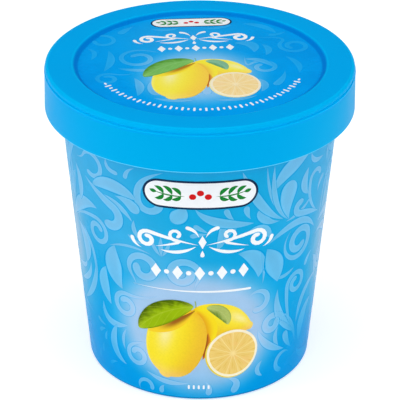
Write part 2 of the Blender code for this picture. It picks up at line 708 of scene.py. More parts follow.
@dataclass(frozen=True)
class LemonInk(Finish):
    """A whole lemon's skin: a pale shine, an orange shaded side and tiny pores."""

    skin: Rgba = screen(250, 226, 10)
    shaded: Rgba = screen(241, 190, 44)
    lit_edge: Rgba = screen(252, 234, 96)
    tip: Rgba = screen(248, 207, 116)
    stalk: Rgba = screen(248, 188, 6)
    halo: Rgba = screen(252, 236, 84)
    shine: Rgba = screen(251, 243, 200)
    shine_at: Point = (0.44, 0.31)
    shine_reach: Point = (0.13, 0.12)
    shine_share: float = 0.48
    halo_spread: float = 2.4
    halo_share: float = 0.45
    shaded_side: float = 1.0

    def colour(self, board: Board) -> Socket:
        """Wire the skin from the stroke's own coordinates.

        Args:
            board: The material's board.

        Returns:
            The skin's colour.
        """
        along, across = board.brush()
        side = across if self.shaded_side > 0 else board.less(1.0, across)
        reach_in = board.plus(side, board.times(along, 0.25))
        skin = board.washed(
            self.skin,
            (self.shaded, reach_in, 0.55, 1.15),
            (self.lit_edge, side, 0.0, 0.09, 0.5, 0.0),
            (self.tip, along, 0.66, 0.94, 0.0, 0.85),
            (self.stalk, along, 0.05, 0.26, 0.8, 0.0),
        )
        halo_reach = tuple(reach * self.halo_spread for reach in self.shine_reach)
        halo = board.nearness(along, across, self.shine_at, halo_reach)
        skin = board.mix(board.times(halo, self.halo_share), skin, self.halo)
        shine = board.nearness(along, across, self.shine_at, self.shine_reach)
        skin = board.mix(board.times(shine, self.shine_share), skin, self.shine)
        pores = board.noise(board.place(), DOT_SCALE, 2.0)
        return board.shade(skin, board.span(pores, 0.3, 0.6, 0.97, 1.01))


@dataclass(frozen=True)
class LeafInk(Finish):
    """A leaf, dark along one edge and pale towards its stalk and its other edge."""

    dark: Rgba = screen(76, 102, 0)
    fresh: Rgba = screen(150, 183, 8)
    pale: Rgba = screen(184, 204, 56)
    blotch_scale: float = 420.0
    vein_slant: float = 0.45
    veins: float = 26.0

    def colour(self, board: Board) -> Socket:
        """Wire the leaf from the stroke's own coordinates.

        Args:
            board: The material's board.

        Returns:
            The leaf's colour.
        """
        along, across = board.brush()
        blotch = board.less(board.noise(board.place(), self.blotch_scale, 4.0), MIDDLE)
        side = board.plus(across, board.times(blotch, 0.7))
        from_rib = board.away(across, MIDDLE)
        slant = board.plus(along, board.times(from_rib, -self.vein_slant))
        vein = board.math("ABSOLUTE", board.math("SINE", board.times(slant, self.veins)))
        leaf = board.washed(
            self.dark,
            (self.fresh, side, 0.0, 0.5),
            (self.pale, along, 0.0, 0.3, 0.75, 0.0),
            (self.pale, along, 0.7, 0.98, 0.0, 0.5),
            (self.pale, from_rib, 0.0, 0.05, 0.4, 0.0),
            (self.pale, vein, 0.0, 0.35, 0.3, 0.0),
            (self.dark, across, 0.9, 1.0, 0.0, 0.6),
        )
        return Effect.INK_GRAIN.use(board, Ink=leaf, Unevenness=0.25).outputs[0]


@dataclass(frozen=True)
class FleshInk(Finish):
    """Cut lemon flesh: pale juice sacs that run out from the middle."""

    sac: Rgba = screen(234, 193, 86)
    pale_sac: Rgba = screen(247, 216, 130)
    patch: Rgba = screen(248, 200, 120)
    rim: Rgba = screen(249, 222, 146)
    core: Rgba = screen(250, 228, 160)
    sac_rows: float = 5.0
    patch_scale: float = 220.0

    def colour(self, board: Board) -> Socket:
        """Wire the flesh from the segment's own coordinates.

        Args:
            board: The material's board.

        Returns:
            The flesh's colour.
        """
        along, across = board.brush()
        sacs = board.node("ShaderNodeCombineXYZ", {0: along, 1: board.times(across, self.sac_rows)})
        return board.washed(
            self.sac,
            (self.pale_sac, board.noise(sacs.outputs[0], 3.0), 0.3, 0.7),
            (self.patch, board.noise(board.place(), self.patch_scale, 2.0), 0.5, 0.72, 0.0, 0.5),
            (self.rim, board.away(across, MIDDLE), 0.38, 0.5, 0.0, 0.5),
            (self.core, along, 0.0, 0.3, 0.6, 0.0),
        )


@dataclass(frozen=True)
class ContactInk(Finish):
    """The dark, warm shade where one fruit lies against another or under a leaf."""

    deep: Rgba = screen(158, 92, 8)
    warm: Rgba = screen(246, 190, 30)
    deep_side: float = 1.0
    deepest: float = 0.5

    def colour(self, board: Board) -> Socket:
        """Wire the shade from the stroke's own coordinates.

        Args:
            board: The material's board.

        Returns:
            The shade's colour.
        """
        along, across = board.brush()
        side = across if self.deep_side > 0.5 else board.less(1.0, across)
        aside = board.away(along, self.deepest)
        depth = board.times(board.span(side, 0.1, 0.7), board.span(aside, 0.5, 0.2))
        return board.mix(depth, self.warm, self.deep)


@dataclass(frozen=True)
class LidPlastic(Finish):
    """The lid's glossy blue plastic, with painted highlights and painted shade in bands. A band is its
    middle, its reach to either side and its strength.
    """

    blue: Rgba = screen(0, 170, 242)
    skirt: Rgba = screen(0, 174, 236)
    flowed: Rgba = screen(0, 167, 238)
    # The colour of the painted highlights on the bead, groove, shoulder, crest and panel rim
    clear: Rgba = screen(0, 200, 255)
    # A painted highlight along the skirt's bottom lip
    lip_highlight: Rgba = screen(104, 218, 252)
    # Painted shade in the corner round the sunk panel
    deep: Rgba = screen(0, 122, 216)
    flow_scale: float = 30.0
    lip_height: float = 92.55
    skirt_top: float = 104.3
    ring_height: Point = (105.7, 106.0)
    # Bands of painted highlight, each its middle, its reach and its strength
    bead: Span = (104.85, 0.28, 0.45)
    groove: Span = (105.4, 0.5, 0.6)
    shoulder: Span = (50.3, 0.9, 0.3)
    crest: Span = (49.85, 0.45, 0.5)
    panel_rim: Span = (41.75, 0.4, 0.3)
    # The band of painted shade at the foot of the panel's sloped wall
    panel_corner_shade: Span = (40.5, 1.1, 0.85)

    def bands(self, board: Board, value: Socket, *bands: Span) -> list[Socket]:
        """Soft bands about some heights or radii.

        Args:
            board: The material's board.
            value: The height or the radius of a place.
            bands: The bands.

        Returns:
            For each band its strength in its middle, and zero outside it.
        """
        made = []
        for middle, reach, strength in bands:
            made.append(board.span(board.away(value, middle), 0.3 * reach, reach, strength, 0.0))
        return made

    def colour(self, board: Board) -> Socket:
        """Wire the blue with painted highlights on its thin edges and its lip, and painted shade in the
        corner round the panel.

        Args:
            board: The material's board.

        Returns:
            The plastic's colour.
        """
        x, y, z = board.parts(board.place())
        height = board.math("DIVIDE", z, MM)
        squared = board.math("MULTIPLY_ADD", x, x, board.times(y, y))
        radius = board.math("DIVIDE", board.math("SQRT", squared), MM)
        flow = board.noise(board.place(), self.flow_scale, 2.0)
        blue = board.washed(
            self.skirt,
            (self.blue, height, self.skirt_top - 0.5, self.skirt_top),
            (self.flowed, flow, 0.3, 0.7, 0.0, 0.5),
        )
        # Painted highlights on the top's rounded edges, and on the bead and the groove
        ring_highlights = board.most(*self.bands(board, radius, self.shoulder, self.crest, self.panel_rim))
        ring_highlights = board.times(ring_highlights, board.span(height, *self.ring_height))
        painted_highlight = board.most(ring_highlights, *self.bands(board, height, self.bead, self.groove))
        blue = board.mix(painted_highlight, blue, self.clear)
        # Painted shade in the panel's corner
        blue = board.mix(*self.bands(board, radius, self.panel_corner_shade), blue, self.deep)
        # Painted highlight along the skirt's bottom lip
        return board.washed(blue, (self.lip_highlight, height, self.lip_height - 0.25, self.lip_height, 0.95, 0.0))


def finished_piece(name: str, bm: bmesh.types.BMesh, finish: Finish) -> bpy.types.Object:
    """Bring a mesh to metres, shade it and let it ride on the pack's one body.

    Args:
        name: The piece's name.
        bm: Its mesh in millimetres, which is used up.
        finish: Its finish.

    Returns:
        The finished piece.
    """
    bmesh.ops.scale(bm, vec=(MM, MM, MM), verts=bm.verts)
    mesh = bpy.data.meshes.new(name)
    bm.to_mesh(mesh)
    bm.free()
    mesh.shade_smooth()
    mesh.set_sharp_from_angle(angle=math.radians(SHARP_ANGLE))
    mesh.materials.append(finish.material())
    piece = bpy.data.objects.new(name, mesh)
    bpy.context.scene.collection.objects.link(piece)
    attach(piece, BODY)
    LOG.info("%s: %d faces", name, len(mesh.polygons))
    return piece


def faced_outwards(bm: bmesh.types.BMesh) -> None:
    """Turn a closed mesh's faces outwards.

    Args:
        bm: The mesh, one closed body.
    """
    bmesh.ops.recalc_face_normals(bm, faces=bm.faces)
    if bm.calc_volume(signed=True) < 0:
        bmesh.ops.reverse_faces(bm, faces=bm.faces)


@dataclass(frozen=True)
class Corner:
    """A corner of a turned outline, with the length along its sides that its rounding takes."""

    radius: float
    height: float
    cut: float = 0.0


def turned(corners: list[Corner]) -> bmesh.types.BMesh:
    """Turn an outline about the Z axis.

    Args:
        corners: The outline's corners; the first and the last are on the axis.

    Returns:
        A closed mesh in millimetres.
    """
    bm = bmesh.new()
    verts = [bm.verts.new((corner.radius, 0.0, corner.height)) for corner in corners]
    for first, second in zip(verts, verts[1:]):
        bm.edges.new((first, second))
    for vert, corner in zip(verts, corners):
        if corner.cut:
            bmesh.ops.bevel(
                bm, geom=[vert], offset=corner.cut, offset_type="OFFSET", segments=CORNER_STEPS,
                profile=0.5, affect="VERTICES", material=-1,
            )
    outline = list(bm.verts) + list(bm.edges)
    bmesh.ops.spin(
        bm, geom=outline, cent=(0, 0, 0), axis=(0, 0, 1), angle=math.tau, steps=SPIN_STEPS, use_merge=True
    )
    bmesh.ops.remove_doubles(bm, verts=bm.verts, dist=MERGE_DISTANCE)
    faced_outwards(bm)
    return bm


class CentreLine(Protocol):
    """The line that a printed stroke follows."""

    def points(self) -> list[Vector]:
        """Closely spaced points from the stroke's start to its end."""


def bent(start: Vector, pull: Vector, end: Vector, steps: int = 48) -> list[Vector]:
    """Points of a curve that leaves one point towards a second and comes to a third.

    Args:
        start: The first point.
        pull: The point that pulls the curve towards itself.
        end: The last point.
        steps: How many steps the curve is cut into.

    Returns:
        The points, both ends included.
    """
    shares = [step / steps for step in range(steps + 1)]
    return [start.lerp(pull, share).lerp(pull.lerp(end, share), share) for share in shares]


@dataclass(frozen=True)
class Bow:
    """A centre line that is pulled aside once on its way."""

    start: Point
    pull: Point
    end: Point

    def points(self) -> list[Vector]:
        """The bow's points."""
        return bent(Vector(self.start), Vector(self.pull), Vector(self.end))


@dataclass(frozen=True)
class Curl:
    """A spiral from its outer end inwards, which a tail may lead into."""

    centre: Point
    outer: float
    inner: float
    first: float
    turns: float
    tail: tuple[float, ...] = ()

    def spot(self, share: float) -> Vector:
        """A point of the spiral itself.

        Args:
            share: How far along it the point is, from 0 to 1.

        Returns:
            The point.
        """
        angle = math.radians(self.first) + math.tau * self.turns * share
        radius = self.outer + (self.inner - self.outer) * share
        return Vector(self.centre) + radius * Vector((math.cos(angle), math.sin(angle)))

    def points(self) -> list[Vector]:
        """The tail's points, if it has one, and then the spiral's.

        Returns:
            The points, from the outside inwards.
        """
        steps = math.ceil(STEPS_PER_TURN * abs(self.turns)) + FEWEST_CURL_STEPS
        spiral = [self.spot(step / steps) for step in range(steps + 1)]
        if not self.tail:
            return spiral
        tail = Vector(self.tail)
        back = (spiral[0] - spiral[1]).normalized()
        pull = spiral[0] + back * (spiral[0] - tail).length * TAIL_PULL
        return bent(tail, pull, spiral[0])[:-1] + spiral


def evenly(points: list[Vector], steps: int) -> tuple[list[Vector], float]:
    """Space points along a line again, closer together towards its ends.

    Args:
        points: The line's points.
        steps: How many steps are wanted.

    Returns:
        The new points and the line's length.
    """
    reached = [0.0]
    for first, second in zip(points, points[1:]):
        reached.append(reached[-1] + (second - first).length)
    spaced = []
    index = 0
    for step in range(steps + 1):
        target = reached[-1] * (1 - math.cos(math.pi * step / steps)) / 2
        while index < len(points) - 2 and reached[index + 1] < target:
            index += 1
        share = (target - reached[index]) / (reached[index + 1] - reached[index])
        spaced.append(points[index].lerp(points[index + 1], share))
    return spaced, reached[-1]


def round_end(distance: float) -> float:
    """Half width of a round end, at a distance from its tip; both are counted in full half widths."""
    return math.sqrt(max(0.0, 1 - (1 - min(distance, 1.0)) ** 2))


class Outline(Enum):
    """How the width of a printed stroke runs from its start to its end."""

    RIBBON = "even, with round ends"
    SCROLL = "from a point to an even band that ends in a round bulb"
    DROP = "from a point to a fat round end"
    LEAF = "fat in the middle, with a point at either end"
    BROAD_LEAF = "fat nearly all along, with a point at either end"
    DISC = "an ellipse"
    LEMON = "an ellipse with a nipple at its end"
    TAPERED_LEMON = "an ellipse that narrows to a nipple at its end"
    WEDGE = "growing evenly from a point to a blunt end"
    LOZENGE = "straight-sided, with a point at either end"
    BLOCK = "even, with square ends"

    def fullness(self, share: float, slimness: float) -> float:
        """How wide the stroke is at a place along it.

        Args:
            share: How far along the place is, from 0 to 1.
            slimness: The stroke's half width over its length.

        Returns:
            The width there over the full width.
        """
        to_end = (1 - share) / slimness
        if self is Outline.RIBBON:
            return round_end(share / slimness) * round_end(to_end)
        if self is Outline.SCROLL:
            growing = math.sin(min(share / SCROLL_GROWN_AT, 1.0) * math.pi / 2)
            return growing * round_end(to_end) * (SCROLL_START + (1 - SCROLL_START) * share)
        if self is Outline.DROP:
            growing = min(share / (1 - slimness), 1.0)
            return math.sin(growing * math.pi / 2) ** DROP_POWER * round_end(to_end)
        if self in (Outline.LEAF, Outline.BROAD_LEAF):
            power = LEAF_POWER if self is Outline.LEAF else BROAD_LEAF_POWER
            return math.sin(math.pi * share) ** power
        if self in (Outline.LEMON, Outline.TAPERED_LEMON):
            from_middle = 2 * min(share / LEMON_LENGTH, 1.0) - 1
            fruit = max(0.0, 1 - abs(from_middle) ** LEMON_POWER) ** (1 / LEMON_POWER)
            if self is Outline.TAPERED_LEMON and from_middle > 0:
                fruit = (1 - from_middle**2) ** TAPERED_POWER
            nipple = NIPPLE_WIDTH * round_end((1 - share) / NIPPLE_ROUND) * (share > NIPPLE_FROM)
            return (fruit**NIPPLE_BLEND + nipple**NIPPLE_BLEND) ** (1 / NIPPLE_BLEND)
        if self is Outline.WEDGE:
            return share * round_end((1 - share) / WEDGE_ROUND)
        if self is Outline.LOZENGE:
            return 1 - abs(2 * share - 1)
        if self is Outline.BLOCK:
            return 1.0
        return math.sqrt(max(0.0, 1 - (2 * share - 1) ** 2))


@dataclass(frozen=True)
class Stroke:
    """A printed shape: a centre line with a width that runs along it."""

    line: CentreLine
    outline: Outline
    width: float

    def slab(self, lift: float) -> bmesh.types.BMesh:
        """Make the shape as a thin flat slab whose brush map follows the stroke.

        Args:
            lift: How far it stands proud of the printed surface.

        Returns:
            A closed mesh in millimetres, drawn flat.
        """
        dense = self.line.points()
        length = evenly(dense, FEWEST_STEPS)[1]
        along = 2 * max(FEWEST_STEPS // 2, math.ceil(length / STEP_ALONG / 2))
        across = 2 * max(1, math.ceil(self.width / STEP_ACROSS / 2))
        spine, length = evenly(dense, along)
        bm = bmesh.new()
        bm.loops.layers.uv.new(BRUSH_MAP)
        bmesh.ops.create_grid(bm, x_segments=along, y_segments=across, size=1.0, calc_uvs=True)
        for vert in bm.verts:
            step = round((vert.co.x + 1) / 2 * along)
            share = (1 - math.cos(math.pi * step / along)) / 2
            ahead = (spine[min(step + 1, along)] - spine[max(step - 1, 0)]).normalized()
            reach = self.outline.fullness(share, self.width / 2 / length) * self.width / 2
            spot = spine[step] + Vector((-ahead.y, ahead.x)) * (vert.co.y * reach)
            vert.co = (spot.x, spot.y, 0.0)
        bmesh.ops.remove_doubles(bm, verts=bm.verts, dist=MERGE_DISTANCE)
        made = bmesh.ops.extrude_face_region(bm, geom=bm.faces[:], use_keep_orig=True)
        under = [item for item in made["geom"] if isinstance(item, bmesh.types.BMVert)]
        bmesh.ops.translate(bm, vec=(0, 0, -(lift + PRINT_SUNK)), verts=under)
        bmesh.ops.translate(bm, vec=(0, 0, lift), verts=bm.verts)
        faced_outwards(bm)
        return bm


def drawn(outline: Outline, *numbers: float) -> Stroke:
    """Draw a stroke that is pulled aside once.

    Args:
        outline: How its width runs.
        numbers: Its start, what pulls it and its end, each across and up, and its width.

    Returns:
        The stroke.
    """
    return Stroke(Bow(numbers[0:2], numbers[2:4], numbers[4:6]), outline, numbers[6])


def leaf(*numbers: float) -> Stroke:
    """Draw a stroke with a point at either end."""
    return drawn(Outline.LEAF, *numbers)


def drop(*numbers: float) -> Stroke:
    """Draw a stroke from a point to a fat round end."""
    return drawn(Outline.DROP, *numbers)


def disc(x: float, y: float, radius: float, roundness: float = 1.0) -> Stroke:
    """Draw a disc about a middle."""
    return drawn(Outline.DISC, x - radius, y, x, y, x + radius, y, 2 * radius * roundness)


def scroll(*numbers: float) -> Stroke:
    """Draw a curl that ends in a round bulb.

    Args:
        numbers: Its centre, its outer and inner radius, its first angle, its turns, its width,
            and where its tail starts if it has one.

    Returns:
        The stroke.
    """
    outer, inner, first, turns, width = numbers[2:7]
    return Stroke(Curl(numbers[:2], outer, inner, first, turns, numbers[7:]), Outline.SCROLL, width)


@dataclass(frozen=True)
class Placement:
    """Where a design stands on its sheet: scaled, moved, and turned about the sheet's middle."""

    across: float = 0.0
    up: float = 0.0
    turn: float = 0.0
    wide: float = 1.0
    tall: float = 1.0

    def matrix(self) -> Matrix:
        """Work out the placement's matrix.

        Returns:
            The matrix from the design to the sheet.
        """
        turned_about = Matrix.Rotation(math.radians(self.turn), 4, "Z")
        moved = Matrix.Translation((self.across, self.up, 0.0))
        return turned_about @ moved @ Matrix.Diagonal((self.wide, self.tall, 1.0, 1.0))

    def mirrored(self) -> "Placement":
        """The placement with the design's left and right swapped."""
        return replace(self, wide=-self.wide)


class Sheet(Protocol):
    """A surface that prints are laid on."""

    prefix: str
    placements: tuple[Placement, ...]

    def wrap(self, place: Vector) -> Vector:
        """Where a place of the flat drawing comes on the object."""


@dataclass(frozen=True)
class WallSheet:
    """The tub's tapered wall. The design is printed on the front and again on the back."""

    foot_radius: float
    radius_per_height: float
    prefix: str = "tub"
    placements: tuple[Placement, ...] = (Placement(), Placement(across=BACK_SHIFT))

    def wrap(self, place: Vector) -> Vector:
        """Bend a flat place round the wall.

        Args:
            place: Across, up and proud of the print's surface.

        Returns:
            The place on the tub; the middle of the print faces -Y.
        """
        angle = place.x / WRAP_RADIUS - math.pi / 2
        radius = self.foot_radius + self.radius_per_height * place.y + place.z
        return Vector((radius * math.cos(angle), radius * math.sin(angle), place.y))


@dataclass(frozen=True)
class PanelSheet:
    """The lid's flat sunk panel, whose print is turned a little against the tub's."""

    level: float
    prefix: str = "lid"
    placements: tuple[Placement, ...] = (Placement(turn=4.5),)

    def wrap(self, place: Vector) -> Vector:
        """Raise a flat place to the panel's level."""
        return Vector((place.x, place.y, self.level + place.z))


class PrintedPiece:
    """One printed piece: strokes of one finish that are laid on a sheet."""

    def __init__(self, name: str, sheet: Sheet, layer: int) -> None:
        """Start an empty piece.

        Args:
            name: Its name without the sheet's prefix.
            sheet: What it is printed on.
            layer: How many printed layers lie below it.
        """
        self.name = f"{sheet.prefix}_{name}"
        self.sheet = sheet
        self.lift = LAYER_LIFT * (layer + 1)
        self.mesh = bmesh.new()
        self.count = 0

    def add(self, strokes: tuple[Stroke, ...], own: Placement = Placement()) -> "PrintedPiece":
        """Lay strokes on the sheet, once for each of the sheet's placements.

        Args:
            strokes: The strokes, in the design's own coordinates.
            own: Where the design stands within the whole print.

        Returns:
            This piece.
        """
        for placement in self.sheet.placements:
            matrix = placement.matrix() @ own.matrix()
            for stroke in strokes:
                self.lay(stroke, matrix)
        return self

    def lay(self, stroke: Stroke, matrix: Matrix) -> None:
        """Lay one stroke on the sheet.

        Args:
            stroke: The stroke.
            matrix: Where it stands on the sheet.
        """
        slab = stroke.slab(self.lift + TURN_TAKING_LIFT * (self.count % TURN_TAKING))
        if matrix.determinant() < 0:
            bmesh.ops.reverse_faces(slab, faces=slab.faces)
        for vert in slab.verts:
            vert.co = self.sheet.wrap(matrix @ vert.co)
        carrier = bpy.data.meshes.new("stroke")
        slab.to_mesh(carrier)
        slab.free()
        self.mesh.from_mesh(carrier)
        bpy.data.meshes.remove(carrier)
        self.count += 1

    def finish(self, finish: Finish) -> bpy.types.Object:
        """Make the piece in a finish."""
        return finished_piece(self.name, self.mesh, finish)


NAVY = PlainInk("navy_ink", ink=screen(28, 52, 84), unevenness=0.2)
WHITE = PlainInk("white_ink", gloss=PALE_GLOSS, ink=screen(248, 252, 255))
SPRIG_GREEN = PlainInk("sprig_green_ink", gloss=PALE_GLOSS, ink=screen(0, 132, 44), unevenness=0.15)
BERRY_RED = PlainInk("berry_red_ink", gloss=PALE_GLOSS, ink=screen(214, 8, 12), unevenness=0.15)
PITH = PlainInk("pith_ink", gloss=PALE_GLOSS, ink=screen(253, 243, 214), unevenness=0.12)
MEMBRANE = PlainInk("membrane_ink", gloss=PALE_GLOSS, ink=screen(248, 221, 148), unevenness=0.2)
PALE_MEMBRANE = PlainInk("pale_membrane_ink", gloss=PALE_GLOSS, ink=screen(254, 237, 194), unevenness=0.2)
RIND = PlainInk("rind_ink", gloss=PALE_GLOSS, ink=screen(238, 214, 66), unevenness=0.2)
PALE_RIND = PlainInk("pale_rind_ink", gloss=PALE_GLOSS, ink=screen(248, 240, 186), unevenness=0.2)


@dataclass(frozen=True)
class Plaque:
    """A plain name plaque with no name: a pill with a dark edge, two sprigs and three berries."""

    place: Placement
    width: float = 35.0
    height: float = 10.6
    edge: float = 0.75

    def pill(self, inset: float) -> Stroke:
        """The pill's shape, smaller all round by an inset."""
        half = self.width / 2 - inset
        return drawn(Outline.RIBBON, -half, 0, 0, 0, half, 0, self.height - 2 * inset)

    def sprig(self) -> tuple[Stroke, ...]:
        """The right-hand sprig, a stem with three pairs of leaves.

        Returns:
            Its strokes.
        """
        strokes = [leaf(4.6, -0.4, 9.0, -0.8, 14.0, 0.7, 0.5)]
        for stem, spread in ((5.8, 2.1), (8.4, 2.5), (11.0, 2.2)):
            low = -0.5 + 0.05 * stem
            for reach in (spread, -spread):
                strokes.append(leaf(stem, low, stem + 0.5, reach, stem + 2.7, reach + 0.3, 1.35))
        strokes.append(leaf(13.0, 0.4, 14.2, 0.6, 15.2, 1.1, 1.3))
        return tuple(strokes)

    def berries(self) -> tuple[Stroke, ...]:
        """Three berries in the middle."""
        return tuple(disc(x, y, 1.05) for x, y in ((-2.3, -0.5), (0.0, 0.9), (2.3, -0.5)))

    def build(self, sheet: Sheet) -> None:
        """Print the plaque.

        Args:
            sheet: What it is printed on.
        """
        place = self.place
        PrintedPiece("plaque_edge", sheet, 1).add((self.pill(0.0),), place).finish(NAVY)
        PrintedPiece("plaque_face", sheet, 2).add((self.pill(self.edge),), place).finish(WHITE)
        sprigs = PrintedPiece("plaque_sprigs", sheet, 3).add(self.sprig(), place)
        sprigs.add(self.sprig(), place.mirrored()).finish(SPRIG_GREEN)
        PrintedPiece("plaque_berries", sheet, 3).add(self.berries(), place).finish(BERRY_RED)


@dataclass(frozen=True)
class WhiteOrnament:
    """The white ornament in the title's place: a flourish above a row of lozenges and dots."""

    flourish: Placement
    row: Placement
    lozenges: int = 5
    pitch: float = 7.1

    def half_flourish(self) -> tuple[Stroke, ...]:
        """The flourish's right half, drawn from its middle outwards.

        Returns:
            Its strokes.
        """
        return (
            scroll(17.6, -0.4, 3.1, 1.0, 110, -1.15, 1.5, 1.2, -1.0),
            scroll(8.2, 2.6, 2.3, 0.8, -100, 1.0, 1.15, 14.8, -2.6),
            leaf(2.0, -1.6, 7.5, -5.2, 13.2, -3.6, 1.2),
            drop(1.0, 1.8, 2.2, 5.2, 5.2, 5.6, 1.3),
            drop(19.6, -4.2, 22.6, -3.4, 22.8, -0.4, 1.3),
        )

    def heart(self) -> tuple[Stroke, ...]:
        """The flourish's middle: a lozenge over a drop."""
        lozenge = drawn(Outline.LOZENGE, 0, -2.4, 0, 0, 0, 2.6, 2.5)
        return lozenge, drop(0, -3.0, 0, -4.2, 0, -5.6, 1.3)

    def row_strokes(self) -> tuple[Stroke, ...]:
        """The row of lozenges with a dot between each two.

        Returns:
            Its strokes.
        """
        strokes = []
        for index in range(2 * self.lozenges - 1):
            x = (index - self.lozenges + 1) * self.pitch / 2
            if index % 2:
                strokes.append(disc(x, 0, 0.85))
            else:
                strokes.append(drawn(Outline.LOZENGE, x, -2.65, x, 0, x, 2.65, 3.4))
        return tuple(strokes)

    def build(self, sheet: Sheet, extra: tuple[Stroke, ...]) -> None:
        """Print the ornament.

        Args:
            sheet: What it is printed on.
            extra: More white strokes of the same sheet, in its own coordinates.
        """
        piece = PrintedPiece("white_print", sheet, 2)
        piece.add(self.half_flourish(), self.flourish)
        piece.add(self.half_flourish(), self.flourish.mirrored())
        piece.add(self.heart(), self.flourish)
        piece.add(self.row_strokes(), self.row)
        piece.add(extra)
        piece.finish(WHITE)


@dataclass(frozen=True)
class FruitInks:
    """The inks that one printed fruit group takes."""

    lemon: LemonInk
    flesh: FleshInk
    rind: PlainInk
    membrane: PlainInk
    large_leaf: LeafInk
    small_leaf: LeafInk
    hollow: ContactInk
    crease: ContactInk
    under_leaf: ContactInk

    def back_lemon(self) -> LemonInk:
        """Make the back lemon's ink, with its shine near the tip and its shade below the leaf.

        Returns:
            The ink.
        """
        return replace(
            self.lemon,
            name=f"{self.lemon.name}_back",
            shine_at=(0.66, 0.74),
            shine_reach=(0.12, 0.16),
            shaded_side=-1.0,
        )


@dataclass(frozen=True)
class FruitGroup:
    """Two whole lemons, a cut half and two leaves, drawn about the group's middle."""

    place: Placement
    inks: FruitInks
    segments: int = 11
    first_segment: float = 0.3
    cut_middle: Point = (12.0, -6.2)
    rind_shift: Point = (-0.35, -0.2)
    rind_radius: float = 9.5
    pith_radius: float = 9.3
    membrane_radius: float = 8.4
    flesh_radius: float = 8.45
    widest_radius: float = 8.2
    core_radius: float = 0.6
    gap_radius: float = 0.5
    cut_roundness: float = 1.02

    def cut_disc(self, radius: float, shift: Point = (0.0, 0.0)) -> tuple[Stroke]:
        """A disc of the cut half.

        Args:
            radius: The disc's radius.
            shift: How far its middle is from the cut half's.

        Returns:
            The disc alone.
        """
        x, y = (middle + moved for middle, moved in zip(self.cut_middle, shift))
        return (disc(x, y, radius, self.cut_roundness),)

    def flesh(self) -> tuple[Stroke, ...]:
        """The cut half's segments, wedges that lie side by side round the core.

        Returns:
            One stroke for each segment.
        """
        middle = Vector(self.cut_middle)
        width = 2 * self.widest_radius * math.tan(math.pi / self.segments)
        strokes = []
        for index in range(self.segments):
            angle = math.tau * (index + self.first_segment) / self.segments
            out = Vector((math.cos(angle), math.sin(angle)))
            near, far = middle + out * self.gap_radius, middle + out * self.flesh_radius
            strokes.append(drawn(Outline.WEDGE, *near, *((near + far) / 2), *far, width))
        return tuple(strokes)

    def build(self, sheet: Sheet) -> None:
        """Print the fruit from the back to the front.

        Args:
            sheet: What it is printed on.
        """
        inks = self.inks
        back_lemon = drawn(Outline.TAPERED_LEMON, -3.2, 9.8, 7.2, 7.7, 18.9, 3.4, 13.7)
        hollow = leaf(-1.0, 12.4, 5.2, 6.2, 2.6, -2.6, 6.4)
        crease = leaf(3.1, 3.0, 3.4, -3.0, 1.3, -8.0, 2.4)
        small_leaf = drawn(Outline.BROAD_LEAF, 2.5, 13.0, 9.2, 12.0, 9.8, 5.8, 4.5)
        stem = drawn(Outline.RIBBON, -1.1, 12.9, -1.0, 14.2, -1.3, 15.6, 0.34)
        front_lemon = drawn(Outline.LEMON, -6.2, 13.0, -7.0, -2.0, -12.8, -15.9, 20.9)
        under_leaf = leaf(-18.0, 1.8, -7.8, 4.4, -1.2, 12.0, 3.8)
        large_leaf = drawn(Outline.BROAD_LEAF, -1.8, 13.4, -12.4, 12.8, -21.4, 2.0, 8.7)
        pieces = (
            ("lemon_back", 1, (back_lemon,), inks.back_lemon()),
            ("fruit_shade", 2, (hollow,), inks.hollow),
            ("fruit_crease", 3, (crease,), inks.crease),
            ("leaf_small", 3, (small_leaf, stem), inks.small_leaf),
            ("lemon_front", 4, (front_lemon,), inks.lemon),
            ("leaf_shade", 5, (under_leaf,), inks.under_leaf),
            ("leaf_large", 6, (large_leaf,), inks.large_leaf),
            ("cut_rind", 5, self.cut_disc(self.rind_radius, self.rind_shift), inks.rind),
            ("cut_pith", 6, self.cut_disc(self.pith_radius), PITH),
            ("cut_membrane", 7, self.cut_disc(self.membrane_radius), inks.membrane),
            ("cut_flesh", 8, self.flesh(), inks.flesh),
            ("cut_core", 9, self.cut_disc(self.core_radius), inks.membrane),
        )
        for name, layer, strokes, ink in pieces:
            PrintedPiece(name, sheet, layer).add(strokes, self.place).finish(ink)


